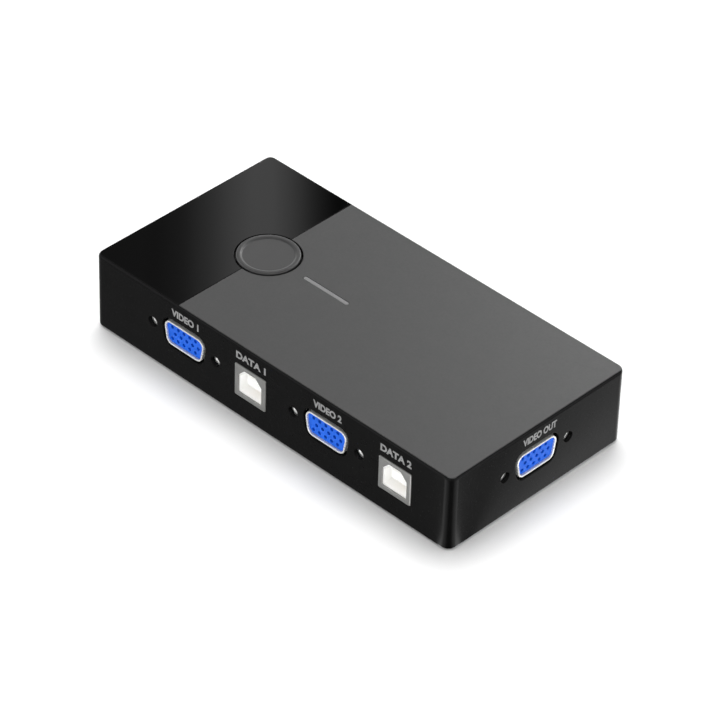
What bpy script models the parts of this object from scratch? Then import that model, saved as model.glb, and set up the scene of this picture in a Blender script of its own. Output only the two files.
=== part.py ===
"""A two-computer KVM switch: a flat black box with a round select button, an indicator bar,
VGA and USB-B inputs along the front, a VGA output at the right end and USB-A sockets at the back.

Units are metres and +Z is up. The origin is the centre of the footprint on the surface that the
rubber feet rest on. +X runs from the glossy end to the video-output end, and -Y is the front.
"""

import math

import bmesh
import bpy
from mathutils import Matrix, Vector

MM = 0.001

# Case
LENGTH = 137.7 * MM
WIDTH = 69.1 * MM
CASE_BOTTOM = 0.4 * MM
CASE_TOP = 25.2 * MM
WALL = 2.0 * MM
ROOF = 2.4 * MM
CORNER_RADIUS = 2.8 * MM
TOP_EDGE_RADIUS = 1.0 * MM
BOTTOM_EDGE_RADIUS = 0.6 * MM
ROOF_UNDERSIDE = CASE_TOP - ROOF

# Gaps between pieces: one that shows as a seam, and one between a piece and its hidden seat
SEAM = 0.12 * MM
SEAT_GAP = 0.3 * MM

# Top panels
RIM = 0.45 * MM
RECESS_DEPTH = 0.6 * MM
PANEL_THICKNESS = 0.48 * MM
PANEL_CORNER_RADIUS = 1.7 * MM
PANEL_DIVIDE_X = -35.3 * MM
PANEL_CHAMFER = 0.08 * MM

# Select button
BUTTON_X = -34.6 * MM
BUTTON_RADIUS = 9.2 * MM
BUTTON_HOLE_RADIUS = 9.7 * MM
PANEL_HOLE_RADIUS = 9.8 * MM
BUTTON_PROUD = 0.2 * MM
BUTTON_DISH_RADIUS = 7.7 * MM
BUTTON_DISH_DEPTH = 0.35 * MM
BUTTON_FLANGE_RADIUS = 10.6 * MM
BUTTON_STEM_RADIUS = 2.4 * MM
COLLAR_INNER_RADIUS = 11.0 * MM
COLLAR_OUTER_RADIUS = 12.2 * MM
COLLAR_BOTTOM = 17.0 * MM

# Indicator bar
BAR_X = (-20.5 * MM, -3.3 * MM)
BAR_WIDTH = 1.3 * MM
BAR_HEAD_DEPTH = 3.6 * MM
GUIDE_LEG = 2.0 * MM
GUIDE_LEG_INSET = 2.2 * MM

# Circuit board
BOARD_TOP = 7.1 * MM
BOARD_THICKNESS = 1.6 * MM
BOARD_BOTTOM = BOARD_TOP - BOARD_THICKNESS
BOARD_X = (-64.5 * MM, 62.0 * MM)
BOARD_Y = (-27.9 * MM, 31.0 * MM)
BOARD_NOTCH = 6.0 * MM
BOARD_NOTCH_SHIFT = 2.2 * MM
PART_SEAT = BOARD_TOP + SEAT_GAP

# Bottom cover
COVER_BOTTOM = 0.6 * MM
COVER_TOP = 2.4 * MM
COVER_CORNER_RADIUS = 0.8 * MM
SCREW_PAD_TOP = 3.6 * MM
SCREW_PAD_RADIUS = 4.4 * MM
STANDOFF_RADIUS = 2.6 * MM
TAB_TOP = BOARD_TOP

# Fasteners and feet
BOSS_RADIUS = 3.0 * MM
CASE_SCREW_XY = (61.5 * MM, 27.2 * MM)
BOARD_SCREW_X = 58.0 * MM
BOARD_SCREW_Y = (-20.0 * MM, 22.0 * MM)
SCREW_HEAD_RADIUS = 2.4 * MM
SCREW_HEAD_HEIGHT = 1.4 * MM
SCREW_SHANK_RADIUS = 1.1 * MM
SCREW_BORE_RADIUS = 1.35 * MM
CASE_SCREW_LENGTH = 10.0 * MM
BOARD_SCREW_LENGTH = 4.6 * MM
FOOT_RADIUS = 4.0 * MM
FOOT_HEIGHT = 1.0 * MM
FOOT_XY = (52.0 * MM, 27.2 * MM)

# Video sockets: DE-15, with the 24.99 mm jack-screw spacing of the standard
VIDEO_FRONT_X = (-32.7 * MM, 22.55 * MM)
VIDEO_OUT_Y = -0.85 * MM
VIDEO_Z = 13.9 * MM
SHELL_WIDTH = 16.3 * MM
SHELL_HEIGHT = 7.9 * MM
SHELL_CORNER_RADIUS = 2.3 * MM
SHELL_SLANT = math.radians(10)
SHELL_WALL = 0.55 * MM
SHELL_PROUD = 0.1 * MM
FLANGE_FRONT = 5.75 * MM
FLANGE_WIDTH = 30.8 * MM
FLANGE_HEIGHT = 12.4 * MM
FLANGE_THICKNESS = 0.6 * MM
JACK_SPACING = 24.99 * MM
JACK_HOLE_RADIUS = 1.7 * MM
JACK_POCKET_RADIUS = 3.1 * MM
JACK_POCKET_FLOOR = 1.3 * MM
JACK_NUT_WIDTH = 4.75 * MM
VIDEO_CUTOUT_CLEARANCE = 1.0 * MM
VIDEO_FACE_DEPTH = 0.5 * MM
CONTACT_RADIUS = 0.5 * MM
CONTACT_PITCH = 2.29 * MM
CONTACT_ROW = 1.98 * MM

# USB-B sockets
DATA_IN_X = (-6.5 * MM, 48.45 * MM)
DATA_IN_Z = 12.95 * MM
DATA_IN_WIDTH = 12.0 * MM
DATA_IN_HEIGHT = 10.9 * MM
DATA_IN_DEPTH = 16.0 * MM
DATA_IN_PROUD = 0.2 * MM
DATA_IN_RISE = 0.15 * MM
DATA_IN_SHEET = 0.4 * MM

# USB-A sockets
DATA_OUT_X = (-39.0 * MM, -13.0 * MM, 13.0 * MM, 39.0 * MM)
DATA_OUT_WIDTH = 13.2 * MM
DATA_OUT_HEIGHT = 5.8 * MM
DATA_OUT_DEPTH = 14.0 * MM
DATA_OUT_PROUD = 0.1 * MM
DATA_OUT_SHEET = 0.35 * MM
DATA_OUT_Z = PART_SEAT + DATA_OUT_HEIGHT / 2

# Tactile switch
SWITCH_WIDTH = 12.0 * MM
SWITCH_BASE_TOP = PART_SEAT + 3.4 * MM
SWITCH_LID_TOP = SWITCH_BASE_TOP + 0.45 * MM
PLUNGER_TOP = PART_SEAT + 7.0 * MM
PLUNGER_BOTTOM = SWITCH_BASE_TOP - 1.3 * MM
PLUNGER_RADIUS = 3.3 * MM

# Smoothness of arcs, in straight pieces
CORNER_STEPS = 6
HOLE_STEPS = 28
SCREW_STEPS = 20
BUTTON_STEPS = 64
REACH = 5.0 * MM  # how far a cutter runs past the face that it opens


# Scene and materials


def clear_scene():
    for obj in list(bpy.data.objects):
        bpy.data.objects.remove(obj, do_unlink=True)


def new_collection(name):
    collection = bpy.data.collections.new(name)
    bpy.context.scene.collection.children.link(collection)
    return collection


def linear(code):
    """An sRGB colour code such as 1c1c1c as linear red, green, blue and alpha."""
    levels = [int(code[i:i + 2], 16) / 255 for i in (0, 2, 4)]
    return [v / 12.92 if v <= 0.04045 else ((v + 0.055) / 1.055) ** 2.4 for v in levels] + [1.0]


def new_material(name, code, roughness, metallic=0.0):
    material = bpy.data.materials.new(name)
    material.use_nodes = True
    shader = material.node_tree.nodes["Principled BSDF"]
    shader.inputs["Base Color"].default_value = linear(code)
    shader.inputs["Roughness"].default_value = roughness
    shader.inputs["Metallic"].default_value = metallic
    material.diffuse_color = linear(code)
    return material


clear_scene()
PARTS = new_collection("kvm_switch")
CUTTERS = new_collection("kvm_switch_cutters")

CASE_BLACK = new_material("case_black", "1c1c1c", 0.38)
GLOSS_BLACK = new_material("gloss_black", "0c0c0c", 0.06)
PANEL_GREY = new_material("panel_grey", "5c5c5c", 0.55)
BUTTON_GREY = new_material("button_grey", "525252", 0.45)
BAR_GREY = new_material("indicator_frost", "9a9a9a", 0.5)
BOARD_GREEN = new_material("board_green", "14502c", 0.4)
NICKEL = new_material("nickel_plate", "d2d2d0", 0.25, 1.0)
STEEL = new_material("zinc_steel", "b8b8b4", 0.35, 1.0)
PORT_BLUE = new_material("port_blue", "2a6cf0", 0.4)
PORT_WHITE = new_material("port_white", "f2f2f0", 0.45)
PORT_BLACK = new_material("port_black", "161616", 0.5)
RUBBER = new_material("foot_rubber", "141414", 0.85)
CHIP_BLACK = new_material("chip_black", "1a1a1c", 0.6)
CAN_METAL = new_material("can_aluminium", "c8c8ca", 0.3, 1.0)
LED_LENS = new_material("led_lens", "e8e4c8", 0.3)
SWITCH_BLACK = new_material("switch_black", "1e1e1e", 0.55)


# Shapes


def block(low, high):
    """A box between two opposite corners."""
    low, high = Vector(low), Vector(high)
    shape = bmesh.new()
    place = Matrix.Translation((low + high) / 2) @ Matrix.Diagonal((*(high - low), 1.0))
    bmesh.ops.create_cube(shape, size=1.0, matrix=place)
    return shape


def cylinder(radius, low, high, axis="Z", center=(0, 0), steps=HOLE_STEPS):
    """A cylinder between two levels along Y or Z; center gives its place along the other two axes."""
    shape = bmesh.new()
    add_cylinder(shape, radius, low, high, axis, center, steps)
    return shape


def add_cylinder(shape, radius, low, high, axis, center, steps):
    middle = (low + high) / 2
    if axis == "Y":
        place = Matrix.Translation((center[0], middle, center[1])) @ Matrix.Rotation(-math.pi / 2, 4, "X")
    else:
        place = Matrix.Translation((center[0], center[1], middle))
    bmesh.ops.create_cone(
        shape,
        cap_ends=True,
        cap_tris=False,
        segments=steps,
        radius1=radius,
        radius2=radius,
        depth=high - low,
        matrix=place,
    )


def round_along(shape, axis, radius, steps=CORNER_STEPS, only=None):
    """Rounds the edges that run along an axis, or those of them that only(edge) picks."""
    direction = Vector({"X": (1, 0, 0), "Y": (0, 1, 0), "Z": (0, 0, 1)}[axis])
    edges = [
        edge
        for edge in shape.edges
        if abs((edge.verts[1].co - edge.verts[0].co).normalized().dot(direction)) > 0.99
        and (only is None or only(edge))
    ]
    bmesh.ops.bevel(
        shape, geom=edges, offset=radius, offset_type="OFFSET", segments=steps, profile=0.5, affect="EDGES"
    )
    return shape


def round_rim(shape, axis, level, radius, steps):
    """Rounds the loop of edges that lies at one level along an axis."""
    index = "XYZ".index(axis)
    edges = [
        edge for edge in shape.edges if all(abs(vert.co[index] - level) < 0.001 * MM for vert in edge.verts)
    ]
    bmesh.ops.bevel(
        shape, geom=edges, offset=radius, offset_type="OFFSET", segments=steps, profile=0.5, affect="EDGES"
    )
    return shape


def d_prism(width, height, radius, near, far, steps=CORNER_STEPS):
    """A D-sub outline, wide side up, run from near to far along Y."""
    shape = block((-width / 2, near, -height / 2), (width / 2, far, height / 2))
    for vert in shape.verts:
        if vert.co.z < 0:
            vert.co.x -= math.copysign(height * math.tan(SHELL_SLANT), vert.co.x)
    return round_along(shape, "Y", radius, steps)


# Objects


def new_empty(name, location, turn=0.0):
    empty = bpy.data.objects.new(name, None)
    empty.empty_display_size = 5 * MM
    empty.location = location
    empty.rotation_euler = (0, 0, turn)
    PARTS.objects.link(empty)
    return empty


def new_part(name, shape, material, parent=None, location=(0, 0, 0)):
    """A piece in the parts collection, from a bmesh or from a finished mesh."""
    if isinstance(shape, bmesh.types.BMesh):
        mesh = bpy.data.meshes.new(name)
        shape.to_mesh(mesh)
        shape.free()
    else:
        mesh = shape
    if not mesh.materials:
        mesh.materials.append(material)
    part = bpy.data.objects.new(name, mesh)
    part.location = location
    part.parent = parent
    PARTS.objects.link(part)
    return part


def new_tool(shape, parent=None, location=(0, 0, 0)):
    """A hidden operand for a Boolean."""
    mesh = bpy.data.meshes.new("cutter")
    shape.to_mesh(mesh)
    shape.free()
    tool = bpy.data.objects.new("cutter", mesh)
    tool.location = location
    tool.parent = parent
    tool.hide_render = True
    tool.display_type = "WIRE"
    CUTTERS.objects.link(tool)
    return tool


def combine(part, operation, shape, parent=None, location=(0, 0, 0)):
    boolean = part.modifiers.new(operation.lower(), "BOOLEAN")
    boolean.operation = operation
    boolean.solver = "EXACT"
    boolean.object = new_tool(shape, parent, location)


def cut(part, shape, parent=None, location=(0, 0, 0)):
    combine(part, "DIFFERENCE", shape, parent, location)


def join(part, shape, parent=None, location=(0, 0, 0)):
    combine(part, "UNION", shape, parent, location)


def turned(name, profile, steps, material, location=(0, 0, 0), parent=None):
    """A turned piece. Its (radius, height) profile runs from the axis at the top down the outer side."""
    mesh = bpy.data.meshes.new(name)
    points = [(radius, 0, height) for radius, height in profile]
    mesh.from_pydata(points, [(i, i + 1) for i in range(len(points) - 1)], [])
    part = new_part(name, mesh, material, parent, location)
    screw = part.modifiers.new("turn", "SCREW")
    screw.steps = steps
    screw.render_steps = steps
    screw.use_merge_vertices = True
    screw.merge_threshold = 0.001 * MM
    screw.use_smooth_shade = True
    return part


def finished_mesh(part):
    """The mesh of a piece with its modifiers worked out, for copies to share. The piece goes."""
    bpy.context.view_layer.update()
    graph = bpy.context.evaluated_depsgraph_get()
    mesh = bpy.data.meshes.new_from_object(part.evaluated_get(graph), depsgraph=graph)
    tools = [modifier.object for modifier in part.modifiers if modifier.type == "BOOLEAN"]
    for used in [part, *tools]:
        bpy.data.objects.remove(used, do_unlink=True)
    mesh.shade_smooth()
    mesh.set_sharp_from_angle(angle=math.radians(35))
    return mesh


def copies(name, mesh, material, places):
    """One object for each place, all sharing a mesh and named with a running number."""
    for number, place in enumerate(places, 1):
        new_part(f"{name}_{number}", mesh, material, location=place)


def corners(x, y, z):
    return [(sx * x, sy * y, z) for sx in (-1, 1) for sy in (-1, 1)]


def board_screw_places():
    return [(x, y) for x in (-BOARD_SCREW_X, BOARD_SCREW_X) for y in BOARD_SCREW_Y]


# Sockets: each is modelled in its own frame, whose origin is on the case's outer wall at the
# socket's centre, with -Y pointing out of the case. An empty carries that frame.


def socket_frames():
    front, back = -WIDTH / 2, WIDTH / 2
    video = [
        new_empty("video_in_1", (VIDEO_FRONT_X[0], front, VIDEO_Z)),
        new_empty("video_in_2", (VIDEO_FRONT_X[1], front, VIDEO_Z)),
        new_empty("video_out", (LENGTH / 2, VIDEO_OUT_Y, VIDEO_Z), math.pi / 2),
    ]
    data_in = [
        new_empty(f"data_in_{number}", (x, front, DATA_IN_Z)) for number, x in enumerate(DATA_IN_X, 1)
    ]
    data_out = [
        new_empty(f"data_out_{number}", (x, back, DATA_OUT_Z), math.pi)
        for number, x in enumerate(DATA_OUT_X, 1)
    ]
    return video, data_in, data_out


def video_shell_mesh():
    """Nickel-plated D shell, nearly level with the wall, and its flange: one pressing."""
    flange = block(
        (-FLANGE_WIDTH / 2, FLANGE_FRONT, -FLANGE_HEIGHT / 2),
        (FLANGE_WIDTH / 2, FLANGE_FRONT + FLANGE_THICKNESS, FLANGE_HEIGHT / 2),
    )
    part = new_part("video_shell", round_along(flange, "Y", 1.2 * MM, 3), NICKEL)
    tube = d_prism(
        SHELL_WIDTH, SHELL_HEIGHT, SHELL_CORNER_RADIUS, -SHELL_PROUD, FLANGE_FRONT + 0.2 * MM
    )
    join(part, round_rim(tube, "Y", -SHELL_PROUD, 0.2 * MM, 1))
    bore = d_prism(
        SHELL_WIDTH - 2 * SHELL_WALL,
        SHELL_HEIGHT - 2 * SHELL_WALL,
        SHELL_CORNER_RADIUS - SHELL_WALL,
        -REACH,
        FLANGE_FRONT + REACH,
    )
    cut(part, bore)
    for side in (-1, 1):
        at = (side * JACK_SPACING / 2, 0)
        cut(part, cylinder(1.65 * MM, 0, FLANGE_FRONT + REACH, "Y", at, steps=16))
    return finished_mesh(part)


def contact_holes(near, far):
    """Fifteen holes in three rows of five, the middle row half a pitch to one side."""
    shape = bmesh.new()
    for row in (-1, 0, 1):
        shift = CONTACT_PITCH / 4 * (1 if row == 0 else -1)
        for column in range(-2, 3):
            at = (column * CONTACT_PITCH + shift, row * CONTACT_ROW)
            add_cylinder(shape, CONTACT_RADIUS, near, far, "Y", at, steps=10)
    return shape


def video_insulator_mesh():
    """Blue moulding: the face with its contact holes, and the body that stands on the board."""
    face = VIDEO_FACE_DEPTH
    body_front = FLANGE_FRONT + FLANGE_THICKNESS + SEAT_GAP
    body_depth = 4.4 * MM
    tail_depth = 6.5 * MM
    clear = SHELL_WALL + SEAM
    tongue = d_prism(
        SHELL_WIDTH - 2 * clear,
        SHELL_HEIGHT - 2 * clear,
        SHELL_CORNER_RADIUS - clear,
        face,
        body_front + 0.5 * MM,
    )
    part = new_part("video_insulator", tongue, PORT_BLUE)
    foot = -(VIDEO_Z - PART_SEAT)
    body_back = body_front + body_depth
    tail_front = body_back - 0.5 * MM
    join(part, block((-15.2 * MM, body_front, -6.0 * MM), (15.2 * MM, body_back, 6.0 * MM)))
    join(part, block((-9.6 * MM, tail_front, foot), (9.6 * MM, tail_front + tail_depth, 4.6 * MM)))
    cut(part, contact_holes(face - REACH, face + 5.0 * MM))
    for side in (-1, 1):
        at = (side * JACK_SPACING / 2, 0)
        cut(part, cylinder(1.65 * MM, body_front - 1 * MM, body_front + REACH, "Y", at, steps=16))
    return finished_mesh(part)


def jack_nut_mesh():
    """Hexagonal jack nut between the wall's pocket and the flange, its shank run through the flange."""
    front = JACK_POCKET_FLOOR + SEAT_GAP
    back = FLANGE_FRONT - SEAT_GAP
    head = cylinder(JACK_NUT_WIDTH / 2 / math.cos(math.pi / 6), front, back, "Y", steps=6)
    part = new_part("jack_nut", head, NICKEL)
    join(part, cylinder(1.35 * MM, back - 0.3 * MM, back + 5.0 * MM, "Y", steps=16))
    cut(part, cylinder(1.05 * MM, front - 1 * MM, back + 2.0 * MM, "Y", steps=16))
    return finished_mesh(part)


def usb_b_prism(width, height, chamfer, near, far):
    """The USB-B opening: a rectangle whose two upper corners are cut off."""
    rise = DATA_IN_RISE
    shape = block((-width / 2, near, rise - height / 2), (width / 2, far, rise + height / 2))
    return round_along(shape, "Y", chamfer, 1, only=lambda edge: edge.verts[0].co.z > rise)


def data_in_shell_mesh():
    """USB-B shell: a folded sheet box with a framed front opening, open at the rear."""
    half_w, half_h = DATA_IN_WIDTH / 2, DATA_IN_HEIGHT / 2
    front = -DATA_IN_PROUD
    outer = block((-half_w, front, -half_h), (half_w, DATA_IN_DEPTH, half_h))
    part = new_part("data_in_shell", round_along(outer, "Y", 0.5 * MM, 2), NICKEL)
    hollow = block(
        (-half_w + DATA_IN_SHEET, front + DATA_IN_SHEET, -half_h + DATA_IN_SHEET),
        (half_w - DATA_IN_SHEET, DATA_IN_DEPTH + REACH, half_h - DATA_IN_SHEET),
    )
    cut(part, hollow)
    cut(part, usb_b_prism(8.9 * MM, 8.2 * MM, 2.3 * MM, -REACH, REACH))
    return finished_mesh(part)


def data_in_insulator_mesh():
    """White USB-B moulding with the plug's cavity and the contact tongue in its middle."""
    clear = DATA_IN_SHEET + SEAM
    half_w, half_h = DATA_IN_WIDTH / 2 - clear, DATA_IN_HEIGHT / 2 - clear
    front = clear - DATA_IN_PROUD
    cavity_end = 10.0 * MM
    rise = DATA_IN_RISE
    part = new_part(
        "data_in_insulator",
        block((-half_w, front, -half_h), (half_w, DATA_IN_DEPTH - SEAT_GAP, half_h)),
        PORT_WHITE,
    )
    cut(part, usb_b_prism(8.45 * MM, 7.78 * MM, 2.6 * MM, -REACH, cavity_end))
    tongue = block((-2.8 * MM, 1.6 * MM, rise - 1.6 * MM), (2.8 * MM, cavity_end + 1 * MM, rise + 1.6 * MM))
    join(part, tongue)
    return finished_mesh(part)


def data_out_shell_mesh():
    """USB-A shell: a flat sheet tube, open at both ends."""
    half_w, half_h = DATA_OUT_WIDTH / 2, DATA_OUT_HEIGHT / 2
    outer = block((-half_w, -DATA_OUT_PROUD, -half_h), (half_w, DATA_OUT_DEPTH, half_h))
    part = new_part("data_out_shell", round_along(outer, "Y", 0.5 * MM, 2), NICKEL)
    bore = block(
        (-half_w + DATA_OUT_SHEET, -REACH, -half_h + DATA_OUT_SHEET),
        (half_w - DATA_OUT_SHEET, DATA_OUT_DEPTH + REACH, half_h - DATA_OUT_SHEET),
    )
    cut(part, bore)
    return finished_mesh(part)


def data_out_insulator_mesh():
    """USB-A moulding: the rear block and the contact tongue in the upper half of the opening."""
    part = new_part(
        "data_out_insulator",
        block((-6.1 * MM, 9.6 * MM, -2.4 * MM), (6.1 * MM, DATA_OUT_DEPTH - SEAT_GAP, 2.4 * MM)),
        PORT_BLACK,
    )
    tongue = block((-5.6 * MM, 0.9 * MM, 0.2 * MM), (5.6 * MM, 10.5 * MM, 2.0 * MM))
    join(part, round_rim(tongue, "Y", 0.9 * MM, 0.25 * MM, 1))
    return finished_mesh(part)


def add_sockets(video, data_in, data_out):
    shell = video_shell_mesh()
    insulator = video_insulator_mesh()
    nut = jack_nut_mesh()
    for frame in video:
        new_part(f"{frame.name}_shell", shell, NICKEL, frame)
        new_part(f"{frame.name}_insulator", insulator, PORT_BLUE, frame)
        for side, end in ((-1, "left"), (1, "right")):
            place = (side * JACK_SPACING / 2, 0, 0)
            new_part(f"{frame.name}_jack_nut_{end}", nut, NICKEL, frame, place)
    shell = data_in_shell_mesh()
    insulator = data_in_insulator_mesh()
    for frame in data_in:
        new_part(f"{frame.name}_shell", shell, NICKEL, frame)
        new_part(f"{frame.name}_insulator", insulator, PORT_WHITE, frame)
    shell = data_out_shell_mesh()
    insulator = data_out_insulator_mesh()
    for frame in data_out:
        new_part(f"{frame.name}_shell", shell, NICKEL, frame)
        new_part(f"{frame.name}_insulator", insulator, PORT_BLACK, frame)


# Case


def case_block(inset, low, high, radius):
    """The case's outline, drawn in by inset, between two heights."""
    half_x, half_y = LENGTH / 2 - inset, WIDTH / 2 - inset
    return round_along(block((-half_x, -half_y, low), (half_x, half_y, high)), "Z", radius)


def bar_prism(clearance, low, high):
    """The indicator bar's outline, with round ends, moved outwards by clearance."""
    half = BAR_WIDTH / 2 + clearance
    shape = block((BAR_X[0] - clearance, -half, low), (BAR_X[1] + clearance, half, high))
    return round_along(shape, "Z", half - 0.02 * MM)


def add_housing(video, data_in, data_out):
    """The upper housing: roof and four walls in one moulding, with every opening in it."""
    outer = case_block(0, CASE_BOTTOM, CASE_TOP, CORNER_RADIUS)
    round_rim(outer, "Z", CASE_TOP, TOP_EDGE_RADIUS, 4)
    round_rim(outer, "Z", CASE_BOTTOM, BOTTOM_EDGE_RADIUS, 2)
    housing = new_part("upper_housing", outer, CASE_BLACK)
    cut(housing, case_block(WALL, CASE_BOTTOM - REACH, ROOF_UNDERSIDE, CORNER_RADIUS - WALL))
    cut(housing, case_block(RIM, CASE_TOP - RECESS_DEPTH, CASE_TOP + REACH, PANEL_CORNER_RADIUS + SEAM))
    button = (BUTTON_X, 0)
    collar_top = ROOF_UNDERSIDE + 0.4 * MM
    join(housing, cylinder(COLLAR_OUTER_RADIUS, COLLAR_BOTTOM, collar_top, center=button, steps=40))
    inside = cylinder(COLLAR_INNER_RADIUS, COLLAR_BOTTOM - REACH, ROOF_UNDERSIDE, center=button, steps=40)
    cut(housing, inside)
    hole = cylinder(BUTTON_HOLE_RADIUS, COLLAR_BOTTOM, CASE_TOP + REACH, center=button, steps=BUTTON_STEPS)
    cut(housing, hole)
    cut(housing, bar_prism(0.2 * MM, ROOF_UNDERSIDE - REACH, CASE_TOP + REACH))
    for x, y, z in corners(*CASE_SCREW_XY, SCREW_PAD_TOP + SEAT_GAP):
        join(housing, cylinder(BOSS_RADIUS, z, ROOF_UNDERSIDE + 0.4 * MM, center=(x, y), steps=20))
        cut(housing, cylinder(SCREW_BORE_RADIUS, z - REACH, z + 8.0 * MM, center=(x, y), steps=12))
    for frame in video:
        opening = d_prism(
            SHELL_WIDTH + 2 * VIDEO_CUTOUT_CLEARANCE,
            SHELL_HEIGHT + 2 * VIDEO_CUTOUT_CLEARANCE,
            SHELL_CORNER_RADIUS + VIDEO_CUTOUT_CLEARANCE,
            -REACH,
            WALL + 1 * MM,
        )
        cut(housing, opening, frame)
        for side in (-1, 1):
            at = (side * JACK_SPACING / 2, 0)
            cut(housing, cylinder(JACK_HOLE_RADIUS, -REACH, WALL + 1 * MM, "Y", at), frame)
            pocket = cylinder(JACK_POCKET_RADIUS, JACK_POCKET_FLOOR, WALL + 1 * MM, "Y", at, 20)
            cut(housing, pocket, frame)
    for frame in data_in:
        half_w, half_h = DATA_IN_WIDTH / 2 + SEAM, DATA_IN_HEIGHT / 2 + SEAM
        window = block((-half_w, -REACH, -half_h), (half_w, WALL + 1 * MM, half_h))
        cut(housing, round_along(window, "Y", 0.5 * MM, 2), frame)
    for frame in data_out:
        half_w, half_h = DATA_OUT_WIDTH / 2 + 0.3 * MM, DATA_OUT_HEIGHT / 2 + 0.3 * MM
        below = CASE_BOTTOM - REACH - DATA_OUT_Z
        cut(housing, block((-half_w, -REACH, below), (half_w, WALL + 1 * MM, half_h)), frame)


def add_panels():
    """Two thin inlays in the roof's recess, which meet on a straight line beside the button."""
    low = CASE_TOP - PANEL_THICKNESS
    inset = RIM + SEAM
    sides = (
        ("gloss_panel", GLOSS_BLACK, -LENGTH, PANEL_DIVIDE_X - SEAM / 2),
        ("grey_panel", PANEL_GREY, PANEL_DIVIDE_X + SEAM / 2, LENGTH),
    )
    for name, material, start, end in sides:
        panel = new_part(name, case_block(inset, low, CASE_TOP, PANEL_CORNER_RADIUS), material)
        kept = block((start, -WIDTH, low - REACH), (end, WIDTH, CASE_TOP + REACH))
        combine(panel, "INTERSECT", kept)
        hole = cylinder(
            PANEL_HOLE_RADIUS, low - REACH, CASE_TOP + REACH, center=(BUTTON_X, 0), steps=BUTTON_STEPS
        )
        cut(panel, hole)
        if end > BAR_X[1]:
            cut(panel, bar_prism(SEAM, low - REACH, CASE_TOP + REACH))
        chamfer = panel.modifiers.new("chamfer", "BEVEL")
        chamfer.width = PANEL_CHAMFER
        chamfer.segments = 1
        chamfer.limit_method = "ANGLE"
        chamfer.angle_limit = math.radians(40)


def add_cover(data_out):
    """The bottom cover, set in between the walls, with the board's standoffs and the rear tabs."""
    plate = case_block(WALL + 0.15 * MM, COVER_BOTTOM, COVER_TOP, COVER_CORNER_RADIUS)
    cover = new_part("bottom_cover", plate, CASE_BLACK)
    root = COVER_TOP - 0.4 * MM
    below = COVER_BOTTOM - REACH
    for frame in data_out:
        half_w = DATA_OUT_WIDTH / 2 + 0.15 * MM
        low, sill, high = (level - DATA_OUT_Z for level in (COVER_BOTTOM, COVER_TOP, TAB_TOP))
        join(cover, block((-half_w, 0, low), (half_w, WALL, high)), frame)
        join(cover, block((-half_w, 0.5 * MM, low), (half_w, WALL + 1 * MM, sill)), frame)
    for x, y, z in corners(*CASE_SCREW_XY, SCREW_PAD_TOP):
        at = (x, y)
        seat = COVER_BOTTOM + 0.2 * MM + SCREW_HEAD_HEIGHT + SEAT_GAP
        join(cover, cylinder(SCREW_PAD_RADIUS, root, z, center=at, steps=20))
        cut(cover, cylinder(SCREW_BORE_RADIUS, below, z + REACH, center=at, steps=16))
        cut(cover, cylinder(SCREW_HEAD_RADIUS + 0.3 * MM, below, seat, center=at, steps=20))
    for at in board_screw_places():
        join(cover, cylinder(STANDOFF_RADIUS, root, BOARD_BOTTOM - SEAT_GAP, center=at, steps=20))
        cut(cover, cylinder(SCREW_BORE_RADIUS, 1.4 * MM, BOARD_BOTTOM, center=at, steps=12))
    for x, y, z in corners(*FOOT_XY, FOOT_HEIGHT + SEAT_GAP):
        cut(cover, cylinder(FOOT_RADIUS + 0.2 * MM, below, z, center=(x, y)))


# Moving pieces


def add_button():
    """The select button: a dished cap with a flange that keeps it in, and a stem down to the switch."""
    top = CASE_TOP + BUTTON_PROUD
    dish = top - BUTTON_DISH_DEPTH
    flange_top = ROOF_UNDERSIDE - SEAT_GAP
    stem_end = PLUNGER_TOP + 0.1 * MM
    profile = [
        (0, dish),
        (BUTTON_DISH_RADIUS, dish),
        (BUTTON_DISH_RADIUS + 0.1 * MM, top - 0.08 * MM),
        (BUTTON_DISH_RADIUS + 0.25 * MM, top),
        (BUTTON_RADIUS - 0.45 * MM, top),
        (BUTTON_RADIUS - 0.13 * MM, top - 0.13 * MM),
        (BUTTON_RADIUS, top - 0.45 * MM),
        (BUTTON_RADIUS, flange_top),
        (BUTTON_FLANGE_RADIUS, flange_top),
        (BUTTON_FLANGE_RADIUS, flange_top - 1.0 * MM),
        (BUTTON_RADIUS - 1.2 * MM, flange_top - 1.0 * MM),
        (BUTTON_RADIUS - 1.2 * MM, dish - 1.3 * MM),
        (BUTTON_STEM_RADIUS, dish - 1.3 * MM),
        (BUTTON_STEM_RADIUS, stem_end),
        (0, stem_end),
    ]
    low = [(radius, height - top) for radius, height in profile]
    turned("select_button", low, BUTTON_STEPS, BUTTON_GREY, (BUTTON_X, 0, top))


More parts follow.
